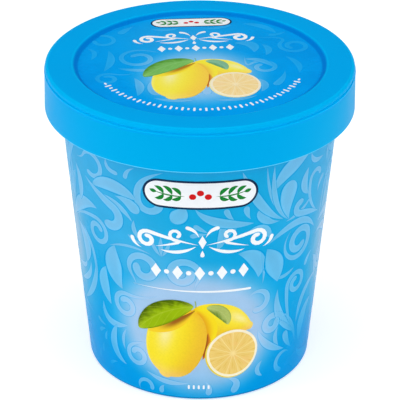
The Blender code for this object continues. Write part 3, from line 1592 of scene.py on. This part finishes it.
# A leaf's or a drop's numbers are its start, what pulls it, its end and its width. A scroll's are
# its centre, outer and inner radius, first angle, turns and width, and where its tail starts.
WALL_SCROLLS = (
    # Upper left, from the plaque outwards
    scroll(-15.0, 77.0, 4.1, 3.0, 180, 0.5, 3.1, -10.5, 88.6),
    drop(-4.6, 77.2, -4.9, 73.4, -8.4, 70.6, 6.3),
    drop(-19.4, 88.4, -22.6, 87.4, -23.0, 83.6, 1.8),
    drawn(Outline.SCROLL, -29.8, 88.9, -30.6, 84.3, -25.6, 84.6, 2.0),
    scroll(-36.6, 83.6, 4.5, 3.8, 150, -0.78, 2.2, -45.0, 83.4),
    drawn(Outline.BROAD_LEAF, -36.8, 76.4, -28.6, 82.2, -19.8, 76.6, 5.8),
    drop(-27.4, 75.8, -21.6, 75.9, -19.4, 71.4, 4.7),
    scroll(-30.4, 67.2, 4.3, 3.4, 70, -0.55, 4.2, -41.0, 78.0),
    leaf(-35.0, 73.8, -25.8, 74.6, -21.4, 67.8, 2.8),
    leaf(-53.0, 57.6, -45.0, 69.4, -36.0, 67.4, 5.8),
    leaf(-46.5, 80.0, -42.6, 74.0, -46.0, 66.0, 4.0),
    # Left, beside and below the ornament
    scroll(-36.8, 58.6, 5.0, 1.9, 100, -1.25, 2.3, -52.0, 57.2),
    leaf(-29.2, 56.2, -32.8, 47.0, -27.2, 40.0, 8.5),
    scroll(-18.4, 50.8, 5.6, 2.2, 215, -1.2, 3.5, -21.0, 43.4),
    leaf(-31.4, 55.4, -24.0, 59.8, -15.4, 56.8, 1.2),
    scroll(-5.2, 50.8, 5.6, 2.2, -35, 1.2, 3.5, -1.5, 43.6),
    leaf(-12.0, 56.6, -12.3, 60.6, -12.0, 64.2, 1.8),
    leaf(-12.2, 56.8, -14.6, 59.6, -15.4, 63.0, 1.5),
    leaf(-11.8, 56.8, -9.8, 59.6, -9.2, 63.0, 1.5),
    leaf(-47.0, 57.0, -38.4, 51.4, -40.4, 40.4, 2.0),
    leaf(-39.4, 47.4, -39.8, 33.4, -53.0, 25.0, 3.1),
    leaf(-50.0, 56.4, -41.8, 51.6, -46.4, 42.2, 6.0),
    leaf(-43.4, 43.6, -43.6, 36.4, -54.0, 32.4, 2.6),
    leaf(-46.8, 42.6, -47.4, 38.4, -55.0, 38.6, 2.2),
    leaf(-34.2, 46.0, -38.4, 39.0, -33.2, 31.6, 6.0),
    scroll(-26.4, 33.9, 4.7, 1.9, 80, 1.2, 2.6, -14.0, 40.8),
    leaf(-37.6, 31.0, -38.4, 21.0, -26.0, 25.8, 3.3),
    leaf(-31.2, 24.4, -37.6, 13.2, -28.2, 9.2, 4.0),
    leaf(-27.0, 24.0, -29.8, 20.0, -28.2, 15.4, 1.6),
    scroll(-22.8, 15.0, 4.2, 1.8, 120, 1.15, 2.4, -17.0, 20.4),
    drop(-37.5, 21.3, -40.0, 20.9, -42.3, 22.6, 1.7),
    drop(-37.8, 19.6, -40.0, 19.3, -42.0, 17.2, 1.7),
    drop(-37.2, 19.0, -38.4, 17.5, -38.6, 15.0, 1.6),
    drop(-40.0, 13.5, -41.0, 11.5, -41.3, 9.0, 1.5),
    drop(-42.4, 10.2, -43.8, 8.6, -44.0, 5.6, 1.5),
    drop(-32.8, 8.4, -35.0, 8.2, -37.0, 6.2, 1.5),
    scroll(-20.0, 3.0, 3.0, 2.4, 215, -0.66, 1.9),
    drop(-12.6, 5.2, -14.2, 4.2, -13.8, 1.8, 2.2),
    leaf(-19.6, 9.6, -12.0, 5.2, -3.6, 7.0, 2.4),
    # Between the plaque and the flourish
    leaf(-1.2, 75.8, 2.4, 69.4, 17.0, 68.8, 4.0),
    leaf(6.4, 71.0, 8.4, 66.0, 5.4, 59.6, 3.3),
    leaf(15.6, 69.4, 8.8, 69.6, 7.0, 61.0, 1.8),
    drop(11.2, 70.3, 8.5, 72.5, 8.0, 75.4, 2.2),
    drop(16.0, 70.4, 14.3, 72.5, 14.4, 75.6, 2.3),
    drop(26.6, 66.9, 19.4, 67.4, 19.3, 73.4, 4.1),
    drop(3.0, 66.6, 0.5, 68.0, -1.7, 69.6, 2.0),
    drop(3.0, 66.3, 0.4, 66.5, -2.8, 65.3, 2.0),
    leaf(23.4, 61.0, 21.6, 68.4, 14.4, 64.6, 4.0),
    # Upper right, stems that fan out from one point
    drop(30.3, 66.0, 27.3, 73.0, 30.4, 80.7, 7.4),
    leaf(23.6, 79.0, 26.2, 86.6, 38.4, 90.0, 6.5),
    leaf(30.0, 66.2, 22.4, 72.0, 22.9, 88.6, 2.2),
    leaf(27.8, 67.2, 18.6, 71.6, 12.6, 88.6, 3.7),
    leaf(26.2, 70.2, 21.4, 76.0, 20.4, 88.8, 1.2),
    leaf(40.4, 71.0, 37.2, 66.6, 29.0, 65.6, 1.7),
    leaf(20.2, 56.8, 22.4, 51.0, 21.6, 44.2, 1.2),
    leaf(38.6, 72.4, 33.8, 76.2, 37.2, 82.8, 3.7),
    scroll(42.2, 77.0, 3.1, 2.4, 180, -0.5, 2.0, 46.8, 61.8),
    leaf(37.8, 87.8, 39.0, 82.3, 45.4, 83.6, 2.2),
    drop(44.4, 70.2, 44.2, 74.0, 47.6, 75.6, 2.4),
    scroll(35.4, 68.8, 2.5, 1.8, 262, -0.55, 3.1, 46.6, 62.2),
    # Right, beside and below the ornament
    scroll(36.3, 55.4, 7.2, 2.2, 128, 1.6, 3.1),
    leaf(22.4, 58.8, 36.0, 68.8, 44.8, 57.0, 3.3),
    leaf(12.4, 57.8, 21.4, 56.2, 19.8, 47.2, 6.5),
    leaf(22.4, 57.2, 27.0, 50.0, 27.6, 43.0, 8.3),
    leaf(26.0, 44.6, 31.0, 43.0, 35.0, 45.8, 1.7),
    drop(45.6, 48.0, 42.2, 46.4, 41.6, 43.4, 2.2),
    scroll(37.0, 38.9, 4.6, 1.7, 190, -1.3, 2.3, 38.8, 17.4),
    leaf(52.0, 36.4, 40.6, 35.4, 39.8, 21.6, 3.1),
    leaf(43.6, 12.6, 42.2, 24.6, 49.4, 27.4, 5.6),
    drop(38.6, 12.4, 34.4, 16.0, 33.8, 20.8, 3.3),
    scroll(26.8, 26.6, 3.2, 2.0, 60, 0.95, 3.3, 40.6, 12.2),
    leaf(21.0, 26.0, 23.0, 17.6, 34.0, 13.8, 3.3),
    leaf(31.2, 15.4, 27.4, 20.0, 29.9, 24.2, 2.2),
    scroll(20.3, 37.4, 4.3, 3.2, 150, -0.75, 2.8),
    leaf(28.2, 39.6, 26.6, 28.6, 38.8, 18.6, 4.0),
    scroll(34.0, 8.6, 4.0, 3.2, 40, 0.62, 2.3),
    leaf(23.8, 12.6, 19.8, 9.0, 24.4, 6.2, 2.2),
    drop(9.2, 8.6, 16.8, 7.4, 12.4, 2.2, 3.5),
    drop(2.2, 7.8, 4.8, 5.2, 3.2, 2.0, 2.8),
    # Smaller leaves near both sides
    leaf(-44.8, 88.2, -52.0, 84.0, -53.8, 74.4, 3.6),
    leaf(-47.4, 76.6, -52.8, 70.0, -51.0, 62.8, 4.4),
    leaf(50.6, 76.6, 54.6, 69.0, 50.0, 60.4, 3.6),
    leaf(47.2, 44.6, 51.8, 41.4, 50.6, 33.6, 3.2),
    leaf(-19.4, 61.8, -21.8, 65.0, -20.8, 68.6, 1.9),
    leaf(-18.4, 60.4, -21.0, 60.2, -23.4, 62.6, 1.5),
    # Round the sides, where the front's print meets the back's
    scroll(-58.0, 72.0, 5.4, 2.0, 20, 1.3, 2.4, -50.4, 86.6),
    leaf(-50.2, 86.8, -58.0, 88.6, -64.6, 80.4, 3.5),
    drop(-55.6, 63.4, -60.8, 59.0, -59.2, 49.8, 5.8),
    leaf(-64.4, 66.0, -66.6, 57.0, -63.2, 48.0, 2.8),
    scroll(-60.0, 42.4, 4.2, 1.6, 80, -1.2, 2.3, -49.6, 49.0),
    scroll(-57.4, 18.6, 6.0, 2.0, 70, 1.4, 2.4, -46.0, 22.6),
    drop(-52.0, 29.6, -60.0, 33.4, -64.8, 28.2, 4.2),
    leaf(-47.0, 3.2, -52.4, 10.4, -60.6, 8.0, 3.5),
    drop(-52.4, 3.0, -58.0, 5.4, -63.6, 2.6, 2.2),
    scroll(56.0, 71.6, 6.0, 2.0, 170, -1.4, 2.6, 48.6, 56.4),
    leaf(48.4, 85.8, 54.0, 80.0, 63.4, 83.4, 4.0),
    leaf(49.8, 79.2, 47.6, 83.0, 50.4, 88.6, 2.2),
    leaf(47.0, 57.4, 54.4, 61.4, 62.4, 56.0, 3.7),
    drop(46.0, 52.4, 50.2, 56.4, 57.6, 50.8, 4.0),
    scroll(55.6, 41.0, 5.0, 1.8, 140, 1.3, 2.4, 63.8, 50.8),
    leaf(64.6, 47.4, 60.2, 37.6, 64.0, 28.8, 2.8),
    scroll(57.4, 20.4, 5.2, 1.8, 200, -1.2, 2.4, 50.4, 7.8),
    drop(51.4, 31.0, 56.6, 33.6, 61.4, 28.6, 3.3),
    leaf(42.4, 9.6, 47.2, 3.4, 55.8, 5.8, 3.7),
    drop(56.8, 10.6, 61.2, 8.8, 62.0, 3.2, 2.6),
)

PANEL_SCROLLS = (
    scroll(-31.0, 20.4, 4.4, 2.6, 100, -0.8, 1.8, -24.4, 31.0),
    drop(-19.8, 31.8, -22.6, 29.4, -25.2, 25.6, 3.0),
    scroll(-19.8, 5.6, 6.8, 2.4, 60, 1.25, 2.2, -12.0, 9.6),
    leaf(-36.4, 14.6, -32.2, 11.8, -35.4, 5.4, 2.0),
    leaf(-29.4, 12.4, -27.4, 4.0, -31.6, -3.6, 3.2),
    scroll(-30.6, -9.4, 4.0, 1.6, 60, 1.2, 1.8, -22.0, -5.8),
    leaf(-22.0, -9.4, -19.2, -15.6, -21.6, -22.8, 3.4),
    leaf(-14.6, 29.2, -9.8, 26.4, -4.8, 29.4, 2.0),
    drop(2.0, 28.6, 9.4, 27.2, 12.4, 31.2, 2.4),
    leaf(12.6, 15.6, 20.6, 16.6, 18.6, 8.2, 4.8),
    leaf(21.6, 14.4, 25.2, 10.4, 22.2, 5.6, 2.8),
    scroll(32.4, 12.2, 5.2, 2.0, 140, 1.3, 2.0, 18.2, 19.4),
    leaf(16.8, 31.4, 24.6, 30.0, 27.4, 23.0, 3.2),
    drop(31.0, 24.6, 29.0, 21.6, 24.6, 21.4, 2.0),
    scroll(20.6, -3.6, 4.8, 1.8, 150, -1.15, 2.0, 15.0, 4.6),
    leaf(28.4, 4.2, 33.8, -1.6, 31.6, -8.8, 2.6),
    drop(27.2, -6.6, 26.6, -13.0, 22.8, -17.6, 3.0),
    leaf(-16.8, -24.6, -11.0, -28.0, -4.0, -27.0, 2.2),
    leaf(2.8, -27.4, 10.6, -28.4, 16.4, -24.8, 2.2),
    leaf(-27.0, -1.6, -20.4, -4.6, -14.0, -3.2, 2.4),
    drop(-15.4, -9.6, -18.4, -16.2, -14.8, -22.4, 4.4),
    leaf(-12.0, -19.4, -12.2, -24.6, -6.6, -25.6, 2.4),
    drop(-1.6, -14.0, 1.4, -17.6, 0.4, -23.2, 3.4),
    leaf(14.6, 2.8, 21.2, 3.2, 23.8, -3.8, 3.0),
    leaf(17.8, -12.4, 21.4, -17.0, 18.0, -22.0, 3.0),
)


@dataclass(frozen=True)
class PackSizes:
    """The pack's driving sizes. The boxes of the frame's solids give the first three."""

    height: float
    lid_radius: float
    skirt_foot: float
    lid_wall: float = 1.1
    fit_gap: float = 0.3
    panel_depth: float = 1.3
    panel_radius: float = 40.1
    panel_rim_radius: float = 41.5
    skirt_draft: float = 0.2
    tub_foot_radius: float = 37.4
    tub_radius_at_skirt: float = 45.7
    label_thickness: float = 0.06

    @classmethod
    def from_frame(cls) -> "PackSizes":
        """Read the driving sizes from the frame."""
        low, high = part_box("lid")
        return cls(height=high.z / MM, lid_radius=high.x / MM, skirt_foot=low.z / MM)

    @property
    def widening(self) -> float:
        """How much the tub's radius grows for each millimetre of height."""
        return (self.tub_radius_at_skirt - self.tub_foot_radius) / self.skirt_foot

    def tub_radius(self, height: float) -> float:
        """The radius of the tub's wall at a height."""
        return self.tub_foot_radius + self.widening * height


@dataclass(frozen=True)
class Tub:
    """The tapered round tub with its moulded-in label."""

    pack: PackSizes
    rim_under: float = 94.5
    corner_cut: float = 1.15
    rim_cut: float = 0.5
    foot_ring_width: float = 2.8
    base_depth: float = 1.2
    base_slope: float = 0.8
    foot_inner_cut: float = 0.25
    base_cut: float = 0.3
    fine_cut: float = 0.15
    stack_ring_radius: float = 22.0
    stack_ring_height: float = 0.35
    ring_foot_half: float = 0.9
    ring_top_half: float = 0.6
    gate_foot_radius: float = 1.6
    gate_radius: float = 1.3
    label_foot: float = 1.15
    label_seam: float = 0.4
    label_below_rim: float = 0.6

    def body_corners(self) -> list[Corner]:
        """The body's outline, from the middle of its top round to the middle of its base.

        Returns:
            The corners.
        """
        pack = self.pack
        top = pack.height - pack.lid_wall - pack.fit_gap
        middle = top - pack.panel_depth
        slope_shift = pack.lid_wall / 2 + pack.fit_gap
        rim = pack.lid_radius - pack.lid_wall - pack.skirt_draft - pack.fit_gap
        foot_inner = pack.tub_foot_radius - self.corner_cut - self.foot_ring_width
        ring, lifted = self.stack_ring_radius, self.base_depth - self.stack_ring_height
        return [
            Corner(0.0, middle),
            Corner(pack.panel_radius + slope_shift, middle),
            Corner(pack.panel_rim_radius + slope_shift, top),
            Corner(rim, top, self.rim_cut),
            Corner(rim, self.rim_under, self.rim_cut),
            Corner(pack.tub_radius(self.rim_under), self.rim_under, self.rim_cut),
            Corner(pack.tub_foot_radius, 0.0, self.corner_cut),
            Corner(foot_inner, 0.0, self.foot_inner_cut),
            Corner(foot_inner - self.base_slope, self.base_depth, self.base_cut),
            Corner(ring + self.ring_foot_half, self.base_depth, self.fine_cut),
            Corner(ring + self.ring_top_half, lifted, self.fine_cut),
            Corner(ring - self.ring_top_half, lifted, self.fine_cut),
            Corner(ring - self.ring_foot_half, self.base_depth, self.fine_cut),
            Corner(self.gate_foot_radius, self.base_depth, self.fine_cut),
            Corner(self.gate_radius, lifted, self.fine_cut),
            Corner(0.0, lifted),
        ]

    def label(self, sheet: WallSheet) -> bmesh.types.BMesh:
        """The label, a thin sleeve whose ends nearly meet at the right-hand side.

        Args:
            sheet: The printed surface.

        Returns:
            The sleeve's mesh.
        """
        seam = BACK_SHIFT / 2
        start = seam + self.label_seam / 2
        end = seam + 2 * BACK_SHIFT - self.label_seam / 2
        head = self.rim_under - self.label_below_rim
        middle = (self.label_foot + head) / 2
        back = seam + BACK_SHIFT
        height = head - self.label_foot
        band = drawn(Outline.BLOCK, start, middle, back, middle, end, middle, height)
        bm = band.slab(0.0)
        for vert in bm.verts:
            if vert.co.z < 0:
                vert.co.z = -self.pack.label_thickness
            vert.co = sheet.wrap(vert.co)
        return bm

    def build(self) -> None:
        """Build the body, the label and its print."""
        pack = self.pack
        body = finished_piece("tub_body", turned(self.body_corners()), TUB_PLASTIC)
        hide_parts("tub")
        sheet = WallSheet(pack.tub_foot_radius + pack.label_thickness, pack.widening)
        finished_piece("tub_label", self.label(sheet), WALL_INK)
        PrintedPiece("scrolls", sheet, 0).add(WALL_SCROLLS).finish(WALL_SCROLL_INK)
        Plaque(Placement(across=0.3, up=81.0)).build(sheet)
        swoosh = drop(-22.6, 44.0, -4.0, 44.5, 17.4, 43.6, 0.8)
        ticks = [drawn(Outline.RIBBON, x, 4.6, x, 5.4, x, 6.2, 0.7) for x in (-3.6, -1.8, 0, 1.8, 3.6)]
        ornament = WhiteOrnament(Placement(across=1.0, up=63.2), Placement(across=0.2, up=51.3))
        ornament.build(sheet, (swoosh, *ticks))
        FruitGroup(Placement(across=0.0, up=24.7), WALL_FRUIT_INKS).build(sheet)


@dataclass(frozen=True)
class Lid:
    """The pressed-on lid: a skirt, a bead and groove, a flat ring and a sunk printed panel."""

    pack: PackSizes
    bead_top: float = 105.05
    bead_height: float = 0.75
    bead_proud: float = 0.1
    groove_height: float = 0.7
    groove_depth: float = 0.28
    groove_slope: float = 0.2
    groove_lip_cut: float = 0.08
    groove_cut: float = 0.1
    bead_cut: float = 0.15
    bead_foot_cut: float = 0.3
    shoulder_radius: float = 50.55
    shoulder_cut: float = 1.1
    panel_edge_cut: float = 0.45
    lip_cut: float = 0.35
    inner_cut: float = 0.5
    label_radius: float = 39.6
    label_edge_cut: float = 0.02
    label_sunk: float = 0.1
    marks: int = 43
    mark_reaches: Point = (0.65, 1.15)
    arc_radius: float = 34.0
    arc_first: float = -157.5
    arc_last: float = -24.5

    @property
    def panel_level(self) -> float:
        """The height of the sunk panel."""
        return self.pack.height - self.pack.panel_depth

    def corners(self) -> list[Corner]:
        """The lid's outline, from the middle of the panel round to the middle of its underside.

        Returns:
            The corners.
        """
        pack = self.pack
        groove_top = self.bead_top + self.groove_height
        groove_radius = self.shoulder_radius + self.bead_proud - self.groove_depth
        skirt_top_radius = pack.lid_radius - pack.skirt_draft
        inside = pack.lid_radius - pack.lid_wall
        under = pack.height - pack.lid_wall
        return [
            Corner(0.0, self.panel_level),
            Corner(pack.panel_radius, self.panel_level, self.panel_edge_cut),
            Corner(pack.panel_rim_radius, pack.height, self.panel_edge_cut),
            Corner(self.shoulder_radius, pack.height, self.shoulder_cut),
            Corner(self.shoulder_radius + self.bead_proud, groove_top, self.groove_lip_cut),
            Corner(groove_radius, groove_top - self.groove_slope, self.groove_cut),
            Corner(groove_radius, self.bead_top + self.groove_slope, self.groove_cut),
            Corner(skirt_top_radius + self.bead_proud, self.bead_top, self.bead_cut),
            Corner(skirt_top_radius, self.bead_top - self.bead_height, self.bead_foot_cut),
            Corner(pack.lid_radius, pack.skirt_foot, self.lip_cut),
            Corner(inside, pack.skirt_foot, self.lip_cut),
            Corner(inside - pack.skirt_draft, under, self.inner_cut),
            Corner(pack.panel_rim_radius + pack.lid_wall / 2, under),
            Corner(pack.panel_radius + pack.lid_wall / 2, self.panel_level - pack.lid_wall),
            Corner(0.0, self.panel_level - pack.lid_wall),
        ]

    def mark_arc(self) -> tuple[Stroke, ...]:
        """The arc of small white marks along the panel's near edge.

        Returns:
            The marks, short and long by turns, with a dash along the arc at each end.
        """
        strokes = []
        last = self.marks - 1
        for index in range(self.marks):
            angle = math.radians(self.arc_first + (self.arc_last - self.arc_first) * index / last)
            out = Vector((math.cos(angle), math.sin(angle)))
            along = Vector((-out.y, out.x)) if index in (0, last) else out
            middle = out * self.arc_radius
            reach = along * self.mark_reaches[index % 2]
            strokes.append(drawn(Outline.RIBBON, *(middle - reach), *middle, *(middle + reach), 0.7))
        return tuple(strokes)

    def build(self) -> None:
        """Build the moulding, the panel's label and its print."""
        moulding = finished_piece("lid_moulding", turned(self.corners()), LID_PLASTIC)
        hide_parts("lid")
        top = self.panel_level + self.pack.label_thickness
        foot = self.panel_level - self.label_sunk
        label = [
            Corner(0.0, top),
            Corner(self.label_radius, top, self.label_edge_cut),
            Corner(self.label_radius, foot),
            Corner(0.0, foot),
        ]
        finished_piece("lid_label", turned(label), PANEL_INK)
        sheet = PanelSheet(top)
        PrintedPiece("scrolls", sheet, 0).add(PANEL_SCROLLS).finish(PANEL_SCROLL_INK)
        Plaque(Placement(-0.4, 33.6, 0.0, 0.786, 0.66)).build(sheet)
        row = Placement(-0.4, 12.6, 0.0, 0.8, 0.87)
        WhiteOrnament(Placement(-0.6, 20.8, 0.0, 0.87, 0.85), row).build(sheet, self.mark_arc())
        FruitGroup(Placement(-0.2, -10.5, 0.0, 0.87, 0.97), LID_FRUIT_INKS).build(sheet)


WALL_FRUIT_INKS = FruitInks(
    lemon=LemonInk("lemon_ink", PALE_GLOSS),
    flesh=FleshInk("flesh_ink", PALE_GLOSS),
    rind=RIND,
    membrane=MEMBRANE,
    large_leaf=LeafInk("large_leaf_ink", LEAF_GLOSS),
    small_leaf=LeafInk(
        "small_leaf_ink", LEAF_GLOSS, screen(112, 142, 52), screen(174, 190, 104), screen(198, 210, 128)
    ),
    hollow=ContactInk("hollow_ink", PALE_GLOSS, screen(234, 166, 8), screen(250, 222, 14), 0.0),
    crease=ContactInk("crease_ink", PALE_GLOSS, screen(160, 74, 8), screen(228, 144, 16), 0.0),
    under_leaf=ContactInk(
        "leaf_shade_ink", PALE_GLOSS, screen(158, 92, 8), screen(247, 208, 30), deepest=0.75
    ),
)

# The fruit on the lid is printed paler than that on the wall.
LID_FRUIT_INKS = FruitInks(
    lemon=LemonInk(
        "lid_lemon_ink",
        PALE_GLOSS,
        skin=screen(255, 240, 58),
        shaded=screen(255, 212, 78),
        lit_edge=screen(255, 248, 150),
        tip=screen(255, 232, 120),
        stalk=screen(255, 226, 60),
        halo=screen(255, 250, 130),
        shine=screen(255, 253, 214),
    ),
    flesh=FleshInk(
        "lid_flesh_ink",
        PALE_GLOSS,
        sac=screen(248, 214, 138),
        pale_sac=screen(255, 234, 178),
        patch=screen(254, 222, 170),
        rim=screen(255, 239, 194),
        core=screen(255, 242, 206),
    ),
    rind=PALE_RIND,
    membrane=PALE_MEMBRANE,
    large_leaf=LeafInk(
        "lid_leaf_ink", LEAF_GLOSS, screen(82, 150, 50), screen(123, 192, 96), screen(155, 211, 134)
    ),
    small_leaf=LeafInk(
        "lid_small_leaf_ink", LEAF_GLOSS, screen(90, 156, 116), screen(130, 187, 151), screen(162, 206, 170)
    ),
    hollow=ContactInk("lid_hollow_ink", PALE_GLOSS, screen(246, 196, 70), screen(255, 238, 66), 0.0),
    crease=ContactInk("lid_crease_ink", PALE_GLOSS, screen(196, 104, 34), screen(240, 180, 60), 0.0),
    under_leaf=ContactInk(
        "lid_leaf_shade_ink", PALE_GLOSS, screen(186, 126, 30), screen(255, 232, 58), deepest=0.75
    ),
)
WALL_INK = GroundInk("wall_ink")
WALL_SCROLL_INK = ScrollInk("wall_scroll_ink")
PANEL_INK = GroundInk("panel_ink", PANEL_GLOSS, ground=Effect.PANEL_GROUND)
PANEL_SCROLL_INK = ScrollInk(
    "panel_scroll_ink", PANEL_GLOSS, ground=Effect.PANEL_GROUND, body=0.4, rim=0.5, edge=0.3
)
LID_PLASTIC = LidPlastic("lid_gloss_blue", Gloss(roughness=0.36, specular=0.018))
TUB_PLASTIC = PlainInk("tub_plastic", ink=screen(0, 134, 190), unevenness=0.05)


@dataclass(frozen=True)
class Softbox:
    """A square studio light that faces the pack."""

    name: str
    place: tuple[float, float, float]
    size: Point
    watts: float

    def build(self, aim: Vector) -> None:
        """Hang the light and turn it to the pack.

        Args:
            aim: What it is turned to, in metres.
        """
        light = bpy.data.lights.new(self.name, "AREA")
        light.shape = "RECTANGLE"
        light.size = self.size[0]
        light.size_y = self.size[1]
        light.energy = self.watts
        lamp = bpy.data.objects.new(self.name, light)
        lamp.location = self.place
        lamp.rotation_mode = "QUATERNION"
        lamp.rotation_quaternion = (aim - lamp.location).to_track_quat("-Z", "Y")
        bpy.context.scene.collection.objects.link(lamp)


@dataclass(frozen=True)
class Studio:
    """A pale floor, soft light all round and the camera. Places here are in metres."""

    camera_distance: float = 0.8062
    camera_elevation: float = 28.03
    aim_height: float = 0.05567
    aim_across: float = 0.00018
    lens: float = 215.7
    roll: float = 0.22
    floor_size: float = 6.0
    floor_level: float = -0.00002
    floor_glow: float = 0.56
    world_strength: float = 0.12
    floor_grey: float = 0.76
    floor_roughness: float = 0.7
    softboxes: tuple[Softbox, ...] = (
        Softbox("top_softbox", (0.0, -0.2, 1.5), (1.8, 1.8), 18.6),
        Softbox("front_softbox", (0.0, -1.5, 0.7), (1.4, 0.9), 3.4),
        Softbox("left_softbox", (-1.1, -0.3, 0.4), (0.7, 1.1), 4.3),
        Softbox("right_softbox", (1.1, -0.3, 0.4), (0.7, 1.1), 3.4),
    )

    def build_floor(self) -> None:
        """Lay the floor just under the pack's foot."""
        bm = bmesh.new()
        bmesh.ops.create_grid(bm, x_segments=1, y_segments=1, size=self.floor_size / 2)
        bmesh.ops.translate(bm, vec=(0, 0, self.floor_level), verts=bm.verts)
        mesh = bpy.data.meshes.new("floor")
        bm.to_mesh(mesh)
        bm.free()
        material = bpy.data.materials.new("floor_white")
        material.use_nodes = True
        shader = material.node_tree.nodes["Principled BSDF"]
        shader.inputs["Base Color"].default_value = (*[self.floor_grey] * 3, 1.0)
        shader.inputs["Roughness"].default_value = self.floor_roughness
        shader.inputs["Emission Color"].default_value = (1.0, 1.0, 1.0, 1.0)
        shader.inputs["Emission Strength"].default_value = self.floor_glow
        mesh.materials.append(material)
        floor = bpy.data.objects.new("floor", mesh)
        bpy.context.scene.collection.objects.link(floor)

    def build_world(self) -> None:
        """Surround the pack with an even white light."""
        scene = bpy.context.scene
        scene.world = scene.world or bpy.data.worlds.new("studio")
        scene.world.use_nodes = True
        board = Board(scene.world.node_tree)
        board.tree.nodes.clear()
        colour = {"Color": (1.0, 1.0, 1.0, 1.0), "Strength": self.world_strength}
        background = board.node("ShaderNodeBackground", colour)
        board.node("ShaderNodeOutputWorld", {"Surface": background.outputs[0]})
        scene.view_settings.view_transform = "Standard"

    def build_camera(self) -> None:
        """Set the camera up at the photograph's angle."""
        camera = bpy.data.cameras.new("camera")
        camera.lens = self.lens
        camera.clip_start = 0.01
        camera.clip_end = 20.0
        holder = bpy.data.objects.new("camera", camera)
        slant = math.radians(self.camera_elevation)
        back = Vector((0.0, -math.cos(slant), math.sin(slant)))
        aim = Vector((self.aim_across, 0.0, self.aim_height))
        holder.location = aim + back * self.camera_distance
        holder.rotation_mode = "QUATERNION"
        level = (-back).to_track_quat("-Z", "Y")
        holder.rotation_quaternion = level @ Matrix.Rotation(math.radians(self.roll), 3, "Z").to_quaternion()
        bpy.context.scene.collection.objects.link(holder)
        bpy.context.scene.camera = holder

    def build(self) -> None:
        """Build the floor, the light and the camera."""
        self.build_floor()
        self.build_world()
        for softbox in self.softboxes:
            softbox.build(Vector((0.0, 0.0, self.aim_height)))
        self.build_camera()


def main() -> None:
    """Build the tub, the lid and the studio."""
    logging.basicConfig(level=logging.INFO, format="%(message)s")
    pack = PackSizes.from_frame()
    Tub(pack).build()
    Lid(pack).build()
    Studio().build()


if __name__ == "__main__":
    main()
